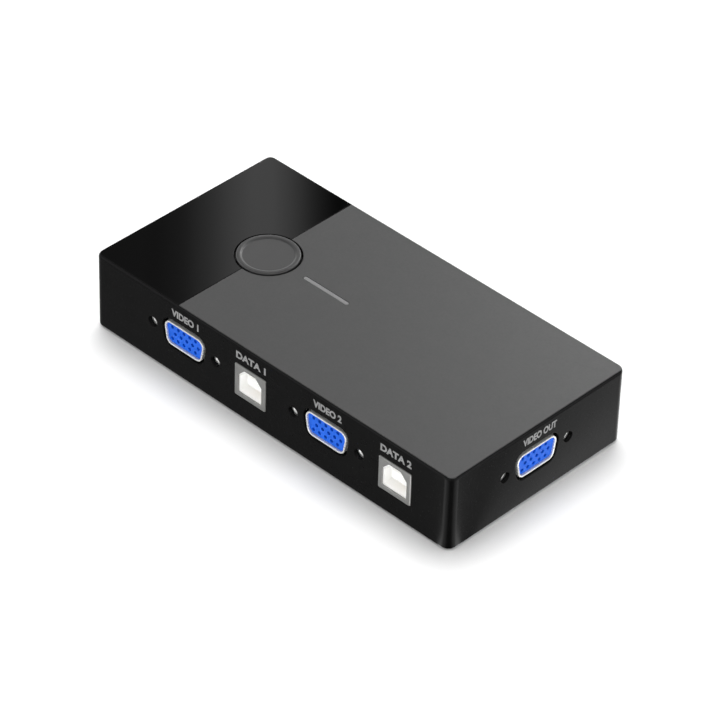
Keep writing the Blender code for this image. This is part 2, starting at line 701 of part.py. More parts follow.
def add_switch():
    """The tactile switch under the button: base, spring lid and plunger."""
    half = SWITCH_WIDTH / 2
    centre = (BUTTON_X, 0, 0)
    base = round_along(block((-half, -half, PART_SEAT), (half, half, SWITCH_BASE_TOP)), "Z", 0.6 * MM, 2)
    base = new_part("switch_base", base, SWITCH_BLACK, location=centre)
    well_floor = SWITCH_BASE_TOP - 2.4 * MM
    well = cylinder(PLUNGER_RADIUS + 0.5 * MM, well_floor, SWITCH_BASE_TOP + REACH, steps=24)
    cut(base, well, location=centre)
    lid = block((-half, -half, SWITCH_BASE_TOP + 0.15 * MM), (half, half, SWITCH_LID_TOP))
    lid = new_part("switch_lid", round_along(lid, "Z", 0.6 * MM, 2), STEEL, location=centre)
    opening = cylinder(PLUNGER_RADIUS + 0.2 * MM, SWITCH_BASE_TOP - REACH, SWITCH_LID_TOP + REACH, steps=24)
    cut(lid, opening, location=centre)
    height = PLUNGER_TOP - PLUNGER_BOTTOM
    plunger = [
        (0, height),
        (PLUNGER_RADIUS - 0.3 * MM, height),
        (PLUNGER_RADIUS, height - 0.3 * MM),
        (PLUNGER_RADIUS, 0),
        (0, 0),
    ]
    turned("switch_plunger", plunger, 24, SWITCH_BLACK, (BUTTON_X, 0, PLUNGER_BOTTOM))


# Inside the case


def add_light_guide():
    """One clear moulding: the bar that shows in the roof and two legs that stand over the LEDs."""
    bottom = CASE_TOP - BAR_HEAD_DEPTH
    guide = new_part("light_guide", bar_prism(0, bottom, CASE_TOP), BAR_GREY)
    for x in led_positions():
        leg = block(
            (x - GUIDE_LEG / 2, -GUIDE_LEG / 2, PART_SEAT + 1.4 * MM),
            (x + GUIDE_LEG / 2, GUIDE_LEG / 2, bottom + 0.5 * MM),
        )
        join(guide, leg)


def led_positions():
    return (BAR_X[0] + GUIDE_LEG_INSET, BAR_X[1] - GUIDE_LEG_INSET)


def add_board():
    """The circuit board, with a notch round each case screw's boss and four screw holes."""
    outline = block((BOARD_X[0], BOARD_Y[0], BOARD_BOTTOM), (BOARD_X[1], BOARD_Y[1], BOARD_TOP))
    board = new_part("circuit_board", outline, BOARD_GREEN)
    below, above = BOARD_BOTTOM - REACH, BOARD_TOP + REACH
    notch_xy = [value + BOARD_NOTCH_SHIFT for value in CASE_SCREW_XY]
    for place in corners(*notch_xy, 0):
        notch = block((-BOARD_NOTCH, -BOARD_NOTCH, below), (BOARD_NOTCH, BOARD_NOTCH, above))
        cut(board, round_along(notch, "Z", 1.5 * MM, 3), location=place)
    for at in board_screw_places():
        cut(board, cylinder(1.4 * MM, below, above, center=at, steps=16))


def add_chip(name, x, y, length, width, leads, pitch):
    """A flat chip with a row of leads along each long side."""
    height = 1.5 * MM
    body = block(
        (x - length / 2, y - width / 2, PART_SEAT + 0.1 * MM),
        (x + length / 2, y + width / 2, PART_SEAT + height),
    )
    chip = new_part(name, body, CHIP_BLACK)
    rows = bmesh.new()
    for side in (-1, 1):
        row_y = y + side * (width / 2 + 0.4 * MM)
        for index in range(leads):
            at = (x + (index - (leads - 1) / 2) * pitch, row_y, PART_SEAT + 0.45 * MM)
            size = Matrix.Diagonal((0.4 * pitch, 1.2 * MM, 0.3 * MM, 1))
            bmesh.ops.create_cube(rows, size=1.0, matrix=Matrix.Translation(at) @ size)
    join(chip, rows)


def add_capacitor(name, x, y, radius, height):
    base = 0.6 * MM
    profile = [
        (0, height),
        (radius - 0.3 * MM, height),
        (radius, height - 0.3 * MM),
        (radius, base + 1.4 * MM),
        (radius - 0.35 * MM, base + 1.1 * MM),
        (radius, base + 0.8 * MM),
        (radius, 0),
        (0, 0),
    ]
    turned(name, profile, 24, CAN_METAL, (x, y, PART_SEAT))


def add_board_parts():
    add_chip("controller_chip", 2.0 * MM, 12.0 * MM, 10.0 * MM, 5.4 * MM, 12, 0.8 * MM)
    add_chip("video_switch_chip", 24.0 * MM, -1.0 * MM, 12.4 * MM, 6.2 * MM, 14, 0.8 * MM)
    crystal = block((-16.5 * MM, 9.8 * MM, PART_SEAT), (-5.5 * MM, 14.2 * MM, PART_SEAT + 3.5 * MM))
    new_part("clock_crystal", round_along(crystal, "Z", 2.1 * MM, 5), CAN_METAL)
    add_capacitor("supply_capacitor_1", 41.0 * MM, 4.0 * MM, 3.15 * MM, 7.5 * MM)
    add_capacitor("supply_capacitor_2", 41.0 * MM, -6.0 * MM, 3.15 * MM, 7.5 * MM)
    lens_top = PART_SEAT + 1.1 * MM
    for number, x in enumerate(led_positions(), 1):
        lens = block((x - 1.6 * MM, -0.8 * MM, PART_SEAT), (x + 1.6 * MM, 0.8 * MM, lens_top))
        new_part(f"indicator_led_{number}", round_rim(lens, "Z", lens_top, 0.25 * MM, 1), LED_LENS)


# Fasteners and feet


def screw_mesh(name, length):
    """A pan-head screw with a cross recess, its head's outer face at the origin and its shank along +Z."""
    profile = [
        (0, length),
        (SCREW_SHANK_RADIUS - 0.5 * MM, length),
        (SCREW_SHANK_RADIUS, length - 0.8 * MM),
        (SCREW_SHANK_RADIUS, SCREW_HEAD_HEIGHT),
        (SCREW_HEAD_RADIUS, SCREW_HEAD_HEIGHT),
        (SCREW_HEAD_RADIUS, 0.5 * MM),
        (SCREW_HEAD_RADIUS - 0.5 * MM, 0),
        (0, 0),
    ]
    screw = turned(name, profile, SCREW_STEPS, STEEL)
    for long, short in ((1.4 * MM, 0.3 * MM), (0.3 * MM, 1.4 * MM)):
        cut(screw, block((-long, -short, -REACH), (long, short, 0.8 * MM)))
    return finished_mesh(screw)


def add_fasteners():
    case_screw = screw_mesh("case_screw", CASE_SCREW_LENGTH)
    copies("case_screw", case_screw, STEEL, corners(*CASE_SCREW_XY, COVER_BOTTOM + 0.2 * MM))
    board_screw = screw_mesh("board_screw", BOARD_SCREW_LENGTH + SCREW_HEAD_HEIGHT)
    board_screw.transform(Matrix.Rotation(math.pi, 4, "X"))
    head_top = PART_SEAT + SCREW_HEAD_HEIGHT
    copies("board_screw", board_screw, STEEL, [(*at, head_top) for at in board_screw_places()])


def add_feet():
    profile = [
        (0, FOOT_HEIGHT),
        (FOOT_RADIUS, FOOT_HEIGHT),
        (FOOT_RADIUS, 0.3 * MM),
        (FOOT_RADIUS - 0.3 * MM, 0),
        (0, 0),
    ]
    foot = finished_mesh(turned("rubber_foot", profile, 28, RUBBER))
    copies("rubber_foot", foot, RUBBER, corners(*FOOT_XY, 0))


def main():
    video, data_in, data_out = socket_frames()
    add_housing(video, data_in, data_out)
    add_panels()
    add_cover(data_out)
    add_sockets(video, data_in, data_out)
    add_button()
    add_switch()
    add_light_guide()
    add_board()
    add_board_parts()
    add_fasteners()
    add_feet()


main()
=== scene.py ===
"""The looks of a two-computer KVM switch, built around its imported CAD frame.

Shapes are drawn in millimetres and scaled to metres as they become meshes. Every place comes from
the boxes of the CAD nodes, so each fine piece lies where the node lies that it stands for.
"""

import math

import bmesh
import bpy
from mathutils import Matrix, Vector


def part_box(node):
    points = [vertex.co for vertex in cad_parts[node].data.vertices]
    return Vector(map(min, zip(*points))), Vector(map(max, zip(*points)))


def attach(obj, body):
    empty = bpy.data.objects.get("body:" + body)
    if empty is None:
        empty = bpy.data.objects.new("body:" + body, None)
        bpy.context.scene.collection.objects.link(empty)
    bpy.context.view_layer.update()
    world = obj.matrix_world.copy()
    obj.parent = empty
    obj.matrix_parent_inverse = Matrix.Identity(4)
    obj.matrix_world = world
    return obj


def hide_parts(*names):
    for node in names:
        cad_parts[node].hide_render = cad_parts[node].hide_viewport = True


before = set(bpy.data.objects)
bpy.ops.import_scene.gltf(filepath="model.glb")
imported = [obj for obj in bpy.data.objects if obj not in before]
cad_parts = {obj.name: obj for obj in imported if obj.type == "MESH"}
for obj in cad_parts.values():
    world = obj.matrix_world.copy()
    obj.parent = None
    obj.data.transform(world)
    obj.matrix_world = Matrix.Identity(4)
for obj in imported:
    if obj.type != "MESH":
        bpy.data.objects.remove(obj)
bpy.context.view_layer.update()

MM = 0.001
REACH = 5.0  # how far a cutter runs past the face that it opens
OVERLAP = 0.4  # how far a joined shape runs into what it joins
GAP = 0.3  # between neighbouring pieces


def node_box(name):
    """The lowest and highest corners of a CAD node, in millimetres."""
    low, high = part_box(name)
    return low / MM, high / MM


# Case
CASE_LOW, CASE_HIGH = node_box("upper_housing")
LENGTH = CASE_HIGH.x - CASE_LOW.x
WIDTH = CASE_HIGH.y - CASE_LOW.y
CASE_TOP = CASE_HIGH.z
CASE_BOTTOM = CASE_LOW.z
WALL = 2.0
ROOF_UNDERSIDE = CASE_TOP - 2.4
CORNER_RADIUS = 2.8
TOP_EDGE = 1.0
BOTTOM_EDGE = 0.6
RIM = 0.45
RECESS_DEPTH = 0.6
PANEL_CORNER = 1.7
SEAM = 0.12
PANEL_BOTTOM = node_box("grey_panel")[0].z
PANEL_DIVIDE = (node_box("gloss_panel")[1].x + node_box("grey_panel")[0].x) / 2

# Select button
BUTTON_LOW, BUTTON_HIGH = node_box("select_button")
BUTTON_X = (BUTTON_LOW.x + BUTTON_HIGH.x) / 2
BUTTON_TOP = BUTTON_HIGH.z
BUTTON_RADIUS = 9.2
BUTTON_HOLE_RADIUS = 9.7
PANEL_HOLE_RADIUS = 9.8
DISH_RADIUS = 7.7
DISH_DEPTH = 0.35
BUTTON_WALL = 1.2
BUTTON_EDGE = 0.45
BUTTON_FLANGE_RADIUS = 10.6
BUTTON_FLANGE_THICKNESS = 1.0
STEM_RADIUS = 2.4
COLLAR_OUTER_RADIUS = 12.2
COLLAR_INNER_RADIUS = 11.0
COLLAR_BOTTOM = 17.0

# Indicator bar
BAR_LOW, BAR_HIGH = node_box("light_guide")
BAR_WIDTH = 1.3
BAR_HEAD_DEPTH = 3.6
BAR_LEG_WIDTH = 2.0
BAR_LEG_INSET = 2.2

# Screws, feet and bottom cover
SCREW_HEAD_RADIUS = 2.4
SCREW_HEAD_HEIGHT = 1.4
SCREW_BORE_RADIUS = 1.35
SCREW_RECESS_DEPTH = 0.8
STANDOFF_RADIUS = 2.6
STANDOFF_X = (-58.0, 58.0)
STANDOFF_Y = (-20.0, 22.0)
BOSS_RADIUS = 3.0
BOSS_BORE_DEPTH = 8
COVER_THICKNESS = 1.8
COVER_CLEARANCE = 0.15
SCREW_PAD_RADIUS = 4.4
SCREW_PAD_HEIGHT = 3.0

# Sockets
SHELL_WIDTH = 16.3
SHELL_HEIGHT = 7.9
SHELL_CORNER = 2.3
SHELL_SLANT = math.radians(10)
SHELL_WALL = 0.55
SHELL_PROUD = 0.1
FLANGE_FRONT = 5.75
FLANGE_WIDTH = 30.8
FLANGE_HEIGHT = 12.4
FLANGE_THICKNESS = 0.6
FLANGE_HOLE_RADIUS = 1.65
JACK_SPACING = 24.99
JACK_HOLE_RADIUS = 1.7
JACK_POCKET_RADIUS = 3.1
JACK_POCKET_FLOOR = 1.3
JACK_NUT_WIDTH = 4.75
CUTOUT_CLEARANCE = 1.0
VIDEO_FACE = 0.5
CONTACT_PITCH = 2.29
CONTACT_ROW = 1.98
CONTACT_HOLE_RADIUS = 0.55
CONTACT_RADIUS = 0.36
DATA_IN_WIDTH, DATA_IN_HEIGHT, DATA_IN_DEPTH = 12.0, 10.9, 16.0
DATA_IN_SHEET = 0.4
DATA_IN_MOUTH = (8.9, 8.2, 2.3)  # width, height and corner cut
DATA_IN_CAVITY = (8.45, 7.78, 2.6)
DATA_IN_CAVITY_END = 10.0
DATA_IN_TONGUE_WIDTH, DATA_IN_TONGUE_HEIGHT = 5.6, 3.2
DATA_IN_CONTACT_X = (-1.25, 1.25)
DATA_IN_PROUD = 0.2
DATA_IN_RISE = 0.15
DATA_OUT_WIDTH, DATA_OUT_HEIGHT, DATA_OUT_DEPTH = 13.2, 5.8, 14.0
DATA_OUT_SHEET = 0.35
DATA_OUT_PROUD = 0.1
DATA_OUT_CONTACT_X = (-3.5, -1.0, 1.0, 3.5)
DATA_OUT_SPRING_X = (-3.0, 3.0)

# Lettering
LABEL_HEIGHT = 2.4
LABEL_WEIGHT = 0.04
INK_DEPTH = 0.02
INK_SHIFT = -0.009  # leaves a thousandth of a millimetre of the ink inside the wall

CORNER_STEPS = 12
ROUND_STEPS = 48
FINE_STEPS = 128


# Outlines: functions of how far the outline is moved outwards, each giving points in a plane


def rounded(corners, radius, grow, steps):
    """A convex outline, listed anticlockwise, with its corners rounded about fixed centres."""
    points = []
    for index, corner in enumerate(corners):
        corner = Vector(corner)
        before = (corner - Vector(corners[index - 1])).normalized()
        after = (Vector(corners[(index + 1) % len(corners)]) - corner).normalized()
        first, last = Vector((before.y, -before.x)), Vector((after.y, -after.x))
        centre = corner - (first + last) * radius / (1 + first.dot(last))
        start, turn = math.atan2(first.y, first.x), math.acos(first.dot(last))
        for step in range(steps + 1):
            angle = start + turn * step / steps
            points.append(centre + (radius + grow) * Vector((math.cos(angle), math.sin(angle))))
    return points


def box_outline(width, height, radius, steps=CORNER_STEPS, centre=(0, 0)):
    x, y = centre
    corners = [
        (x - width / 2, y - height / 2),
        (x + width / 2, y - height / 2),
        (x + width / 2, y + height / 2),
        (x - width / 2, y + height / 2),
    ]
    return lambda grow: rounded(corners, radius, grow, steps)


def d_outline(width, height, radius, steps=CORNER_STEPS):
    """The D-sub outline, wide side up."""
    narrow = width - 2 * height * math.tan(SHELL_SLANT)
    low, high = -height / 2, height / 2
    corners = [(-narrow / 2, low), (narrow / 2, low), (width / 2, high), (-width / 2, high)]
    return lambda grow: rounded(corners, radius, grow, steps)


def usb_b_outline(width, height, chamfer, radius, steps=5):
    """The USB-B outline: a rectangle whose two upper corners are cut off."""
    x, low, high = width / 2, DATA_IN_RISE - height / 2, DATA_IN_RISE + height / 2
    side, top = high - chamfer, x - chamfer
    corners = [(-x, low), (x, low), (x, side), (top, high), (-top, high), (-x, side)]
    return lambda grow: rounded(corners, radius, grow, steps)


def circle(radius, steps=ROUND_STEPS, centre=(0, 0)):
    angles = [2 * math.pi * step / steps for step in range(steps)]
    return lambda grow: [
        (centre[0] + (radius + grow) * math.cos(angle), centre[1] + (radius + grow) * math.sin(angle))
        for angle in angles
    ]


def hexagon(across, radius=0.25):
    corner = across / math.sqrt(3)
    angles = [math.radians(degrees) for degrees in range(0, 360, 60)]
    corners = [(corner * math.cos(angle), corner * math.sin(angle)) for angle in angles]
    return lambda grow: rounded(corners, radius, grow, 3)


# Solids: an outline carried through (level, grow) sections along an axis


def arc(level, grow, radius, start, end, steps=5):
    """Sections along an arc. At 0 degrees it faces up the levels, at 90 outwards."""
    angles = [math.radians(start + (end - start) * step / steps) for step in range(steps + 1)]
    return [(level + radius * math.cos(angle), grow + radius * math.sin(angle)) for angle in angles]


def loft(outline, sections, along="Z", ring=False):
    """A closed solid through all sections. A ring runs from its last section back to its first."""
    shape = bmesh.new()
    rings = []
    for level, grow in sections:
        points = [(u, v, level) if along == "Z" else (u, level, v) for u, v in outline(grow)]
        rings.append([shape.verts.new(point) for point in points])
    pairs = list(zip(rings, rings[1:]))
    if ring:
        pairs.append((rings[-1], rings[0]))
    else:
        shape.faces.new(rings[0])
        shape.faces.new(rings[-1])
    for low, high in pairs:
        for index in range(len(low)):
            after = (index + 1) % len(low)
            shape.faces.new((low[index], low[after], high[after], high[index]))
    bmesh.ops.remove_doubles(shape, verts=shape.verts[:], dist=1e-4)
    bmesh.ops.recalc_face_normals(shape, faces=shape.faces[:])
    return shape


def solid(outline, low, high, low_edge=0.0, high_edge=0.0, along="Z"):
    """A solid between two levels, with its end edges rounded."""
    start = arc(low + low_edge, -low_edge, low_edge, 180, 90) if low_edge else [(low, 0.0)]
    end = arc(high - high_edge, -high_edge, high_edge, 90, 0) if high_edge else [(high, 0.0)]
    return loft(outline, start + end, along)


def opening(outline, face, depth, edge, along="Y", out=-1):
    """A cutter for a hole with a rounded mouth. It opens towards out, which is -1 or 1."""
    profile = [(-depth, 0.0), *arc(-edge, edge, edge, 270, 360, 3), (REACH, edge)]
    return loft(outline, [(face + out * away, grow) for away, grow in profile], along)


def box(low, high, edge=0.0, steps=3):
    """A box between two opposite corners, with all its edges rounded."""
    low, high = Vector(low), Vector(high)
    shape = bmesh.new()
    place = Matrix.Translation((low + high) / 2) @ Matrix.Diagonal((*(high - low), 1.0))
    bmesh.ops.create_cube(shape, size=1.0, matrix=place)
    if edge:
        bmesh.ops.bevel(
            shape, geom=shape.edges[:], offset=edge, offset_type="OFFSET", segments=steps, profile=0.5,
            affect="EDGES",
        )
    return shape


def turned(profile, steps=FINE_STEPS, centre=(0, 0)):
    """A solid of revolution about Z from a (height, radius) profile."""
    return loft(circle(0.0, steps, centre), profile)


def merged(*shapes):
    """Several shapes in one, left as separate bodies."""
    whole = shapes[0]
    for shape in shapes[1:]:
        mesh = bpy.data.meshes.new("part")
        shape.to_mesh(mesh)
        shape.free()
        whole.from_mesh(mesh)
        bpy.data.meshes.remove(mesh)
    return whole


def mesh_of(shape, name="shape"):
    mesh = bpy.data.meshes.new(name)
    shape.to_mesh(mesh)
    shape.free()
    mesh.transform(Matrix.Scale(MM, 4))
    return mesh


def new_object(name, mesh, place=None):
    made = bpy.data.objects.new(name, mesh)
    bpy.context.scene.collection.objects.link(made)
    if place is not None:
        made.matrix_world = place
    return made


def carved(base, *steps):
    """The mesh of a shape after Boolean steps, each (operation, shape) or (operation, shape, place)."""
    body = new_object("carving", mesh_of(base))
    tools = []
    for operation, shape, *place in steps:
        tool = new_object("tool", mesh_of(shape), place[0] if place else None)
        boolean = body.modifiers.new(operation, "BOOLEAN")
        boolean.operation = operation
        boolean.solver = "EXACT"
        boolean.object = tool
        tools.append(tool)
    bpy.context.view_layer.update()
    graph = bpy.context.evaluated_depsgraph_get()
    mesh = bpy.data.meshes.new_from_object(body.evaluated_get(graph), depsgraph=graph)
    for used in (body, *tools):
        bpy.data.objects.remove(used, do_unlink=True)
    return mesh


def smooth(mesh, angle=32):
    mesh.shade_smooth()
    mesh.set_sharp_from_angle(angle=math.radians(angle))
    return mesh


def add_piece(name, mesh, look, body="case", place=None, stands_for=()):
    """A visible piece on a CAD body, from a finished mesh that other pieces may share."""
    if not mesh.materials:
        mesh.materials.append(look)
    piece = new_object(name, mesh, place)
    weighted = piece.modifiers.new("flat_faces", "WEIGHTED_NORMAL")
    weighted.keep_sharp = True
    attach(piece, body)
    if stands_for:
        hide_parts(*stands_for)
    return piece


# Materials


def linear(code):
    """An sRGB colour code such as 1c1c1c as linear red, green, blue and alpha."""
    levels = [int(code[i:i + 2], 16) / 255 for i in (0, 2, 4)]
    return [v / 12.92 if v <= 0.04045 else ((v + 0.055) / 1.055) ** 2.4 for v in levels] + [1.0]


def node(tree, kind, inputs=None, **settings):
    """A shader node with its settings made and its inputs set or linked."""
    made = tree.nodes.new(kind)
    for name, value in settings.items():
        setattr(made, name, value)
    for name, value in (inputs or {}).items():
        if isinstance(value, bpy.types.NodeSocket):
            tree.links.new(value, made.inputs[name])
        else:
            made.inputs[name].default_value = value
    return made


def noise(tree, size, detail=2.0, stretch=(1, 1, 1)):
    """Noise whose features are about size millimetres across."""
    place = node(tree, "ShaderNodeTexCoord").outputs["Object"]
    place = node(tree, "ShaderNodeMapping", {"Vector": place, "Scale": stretch}).outputs["Vector"]
    inputs = {"Vector": place, "Scale": 1 / (size * MM), "Detail": detail}
    return node(tree, "ShaderNodeTexNoise", inputs).outputs[0]


def spread(tree, value, low, high, from_low=0.3, from_high=0.7):
    """A noise value spread over a range."""
    limits = {"Value": value, "From Min": from_low, "From Max": from_high, "To Min": low, "To Max": high}
    return node(tree, "ShaderNodeMapRange", limits).outputs["Result"]


def blend_colour(tree, factor, first, second, mode="MIX"):
    mix = node(tree, "ShaderNodeMix", data_type="RGBA", blend_type=mode)
    for index, value in ((0, factor), (6, first), (7, second)):
        if isinstance(value, bpy.types.NodeSocket):
            tree.links.new(value, mix.inputs[index])
        else:
            mix.inputs[index].default_value = value
    return mix.outputs[2]


def edge_mask(tree, width, breakup):
    """White along convex and concave edges within width millimetres, broken up by noise."""
    soft = node(tree, "ShaderNodeBevel", {"Radius": width * MM}, samples=4).outputs["Normal"]
    true = node(tree, "ShaderNodeNewGeometry").outputs["Normal"]
    match = node(tree, "ShaderNodeVectorMath", {0: soft, 1: true}, operation="DOT_PRODUCT").outputs["Value"]
    edge = spread(tree, match, 1.0, 0.0, 0.88, 0.995)
    broken = spread(tree, noise(tree, breakup, 3.0), 0.2, 1.0, 0.4, 0.62)
    return node(tree, "ShaderNodeMath", {0: edge, 1: broken}, operation="MULTIPLY").outputs[0]


def scaled(colour, factor):
    return [min(1.0, channel * factor) for channel in colour[:3]] + [1.0]


def new_look(name, code, roughness, metallic=0.0, mottle=0.08, mottle_size=4.0, vary=0.06, grain=0.12,
             grain_depth=0.01, stretch=(1, 1, 1), wear_and_highlight=None, wear_and_highlight_width=0.15, wear_and_highlight_amount=0.5, up_facing_tone=None,
             **sockets):
    """A surface whose tone, roughness and relief vary. Its edges are lightened, as wear on most surfaces
    and as a painted highlight on the nickel and tinned shells, and surfaces that face up take a lighter
    tone.
    """
    material = bpy.data.materials.new(name)
    material.use_nodes = True
    tree = material.node_tree
    shader = tree.nodes["Principled BSDF"]
    shader.inputs["Metallic"].default_value = metallic
    for socket, value in sockets.items():
        shader.inputs[socket.replace("_", " ")].default_value = value
    base = linear(code)
    broad = spread(tree, noise(tree, mottle_size, 4.0), 0.0, 1.0)
    colour = blend_colour(tree, broad, scaled(base, 1 - mottle), scaled(base, 1 + mottle))
    fine = noise(tree, mottle_size / 6, 2.0, stretch)
    rough = spread(tree, fine, roughness - vary, roughness + vary)
    # Lightened edges: wear, except on the nickel and tinned shells, where the white edge is a painted
    # highlight.
    if wear_and_highlight:
        mask = edge_mask(tree, wear_and_highlight_width, mottle_size / 3)
        amount = node(tree, "ShaderNodeMath", {0: mask, 1: wear_and_highlight_amount}, operation="MULTIPLY").outputs[0]
        colour = blend_colour(tree, amount, colour, linear(wear_and_highlight))
    # Surfaces that face up are blended towards a lighter tone.
    if up_facing_tone:
        facing = node(tree, "ShaderNodeNewGeometry").outputs["Normal"]
        facing = node(tree, "ShaderNodeSeparateXYZ", {"Vector": facing}).outputs["Z"]
        colour = blend_colour(tree, spread(tree, facing, 0.0, 1.0, 0.05, 0.6), colour, linear(up_facing_tone))
    tree.links.new(colour, shader.inputs["Base Color"])
    tree.links.new(rough, shader.inputs["Roughness"])
    relief = noise(tree, grain, 3.0, stretch)
    bump = node(tree, "ShaderNodeBump", {"Height": relief, "Distance": grain_depth * MM, "Strength": 0.6})
    tree.links.new(bump.outputs["Normal"], shader.inputs["Normal"])
    return material


LOOKS = {
    "case_black": new_look(
        "moulded_black", "0e0e0e", 0.22, grain=0.16, grain_depth=0.002, wear_and_highlight="242424", wear_and_highlight_amount=0.3,
        up_facing_tone="1b1b1b", Specular_IOR_Level=0.04,
    ),
    "gloss_black": new_look("piano_black", "040404", 0.05, vary=0.015, grain=2.5, grain_depth=0.001,
                            wear_and_highlight="1c1c1c", wear_and_highlight_width=0.1),
    "panel_grey": new_look("satin_grey", "424242", 0.45, mottle=0.03, grain=0.14, grain_depth=0.006,
                           wear_and_highlight="5c5c5c", wear_and_highlight_width=0.08),
    "button_grey": new_look("button_satin", "363636", 0.3, mottle=0.04, vary=0.02, grain=0.15,
                            grain_depth=0.0008, wear_and_highlight="606060", wear_and_highlight_width=0.12, wear_and_highlight_amount=0.3,
                            Specular_IOR_Level=0.9),
    "indicator_frost": new_look("frosted_guide", "767676", 0.5, mottle=0.04, grain=0.1, wear_and_highlight="a8a8a8"),
    "board_green": new_look("solder_mask", "14502c", 0.38, mottle=0.2, grain=0.6, wear_and_highlight="b08d4a"),
    # The nickel's white edges are a painted highlight, not wear.
    "nickel": new_look("nickel_plate", "ececea", 0.26, 0.5, mottle=0.05, stretch=(0.15, 1, 1), vary=0.06,
                       grain=0.2, grain_depth=0.004, wear_and_highlight="ffffff", wear_and_highlight_width=0.1),
    "steel": new_look("zinc_steel", "b4b4ae", 0.36, 1.0, mottle=0.12, grain=0.3, wear_and_highlight="e8e8e4"),
    "port_blue": new_look("socket_blue", "1a66e4", 0.42, mottle=0.06, grain=0.12, grain_depth=0.006,
                          wear_and_highlight="3c7cf8", wear_and_highlight_width=0.08, Specular_IOR_Level=0.15),
    # The white moulding glows faintly: painted light that brightens its shaded cavity.
    "port_white": new_look("socket_white_glowing", "f6f6f4", 0.45, mottle=0.03, grain=0.2, grain_depth=0.006,
                           wear_and_highlight="ffffff", Emission_Color=(1, 1, 1, 1), Emission_Strength=0.14),
    "port_black": new_look("socket_black", "181818", 0.5, grain=0.2, wear_and_highlight="4a4a4a"),
    "foot_rubber": new_look("foot_rubber", "151515", 0.85, mottle=0.15, grain=0.25, grain_depth=0.03,
                            wear_and_highlight="3c3c3c", wear_and_highlight_width=0.3),
    "chip_black": new_look("chip_epoxy", "1b1b1d", 0.6, grain=0.08, wear_and_highlight="4c4c4c"),
    "can_aluminium": new_look("drawn_aluminium", "c8c8ca", 0.3, 1.0, stretch=(1, 1, 0.1), grain=0.3,
                              wear_and_highlight="f0f0f0"),
    "led_lens": new_look("led_lens", "e8e4c8", 0.28, mottle=0.05, grain=0.4, Transmission_Weight=0.2),
    "switch_black": new_look("switch_nylon", "1e1e1e", 0.55, grain=0.18, wear_and_highlight="505050"),
}
# The tinned sheet's near-white edges are a painted highlight, not wear.
TIN = new_look("tinned_sheet", "8c8c8a", 0.34, 0.5, mottle=0.06, grain=0.2, grain_depth=0.004,
               wear_and_highlight="f4f4f4", wear_and_highlight_width=0.2, wear_and_highlight_amount=0.9)
GOLD = new_look("contact_gold", "e2b755", 0.28, 1.0, mottle=0.1, grain=0.3, wear_and_highlight="fff0c0")
INK = new_look("grey_ink", "929292", 0.6, mottle=0.12, mottle_size=0.8, grain=0.1)


# Places of the sockets: the origin is on the case's outer wall, and -Y points out of the case


def socket_place(node_name, side):
    low, high = node_box(node_name)
    middle = (low + high) / 2
    if side == "front":
        return Matrix.Translation(Vector((middle.x, CASE_LOW.y, middle.z)) * MM)
    if side == "back":
        turn = Matrix.Rotation(math.pi, 4, "Z")
        return Matrix.Translation(Vector((middle.x, CASE_HIGH.y, middle.z)) * MM) @ turn
    turn = Matrix.Rotation(math.pi / 2, 4, "Z")
    return Matrix.Translation(Vector((CASE_HIGH.x, middle.y, middle.z)) * MM) @ turn


VIDEO = {
    "video_in_1": socket_place("video_in_1_shell", "front"),
    "video_in_2": socket_place("video_in_2_shell", "front"),
    "video_out": socket_place("video_out_shell", "right"),
}
DATA_IN = {name: socket_place(f"{name}_shell", "front") for name in ("data_in_1", "data_in_2")}
DATA_OUT = {f"data_out_{n}": socket_place(f"data_out_{n}_shell", "back") for n in (1, 2, 3, 4)}


# Case


def case_outline(inset, radius):
    return box_outline(LENGTH - 2 * inset, WIDTH - 2 * inset, radius)


def bar_outline(grow):
    """The indicator bar's outline, with round ends."""
    middle = ((BAR_LOW.x + BAR_HIGH.x) / 2, 0)
    length, radius = BAR_HIGH.x - BAR_LOW.x, BAR_WIDTH / 2 - 0.05
    return box_outline(length + 2 * grow, BAR_WIDTH + 2 * grow, radius + grow, 6, middle)


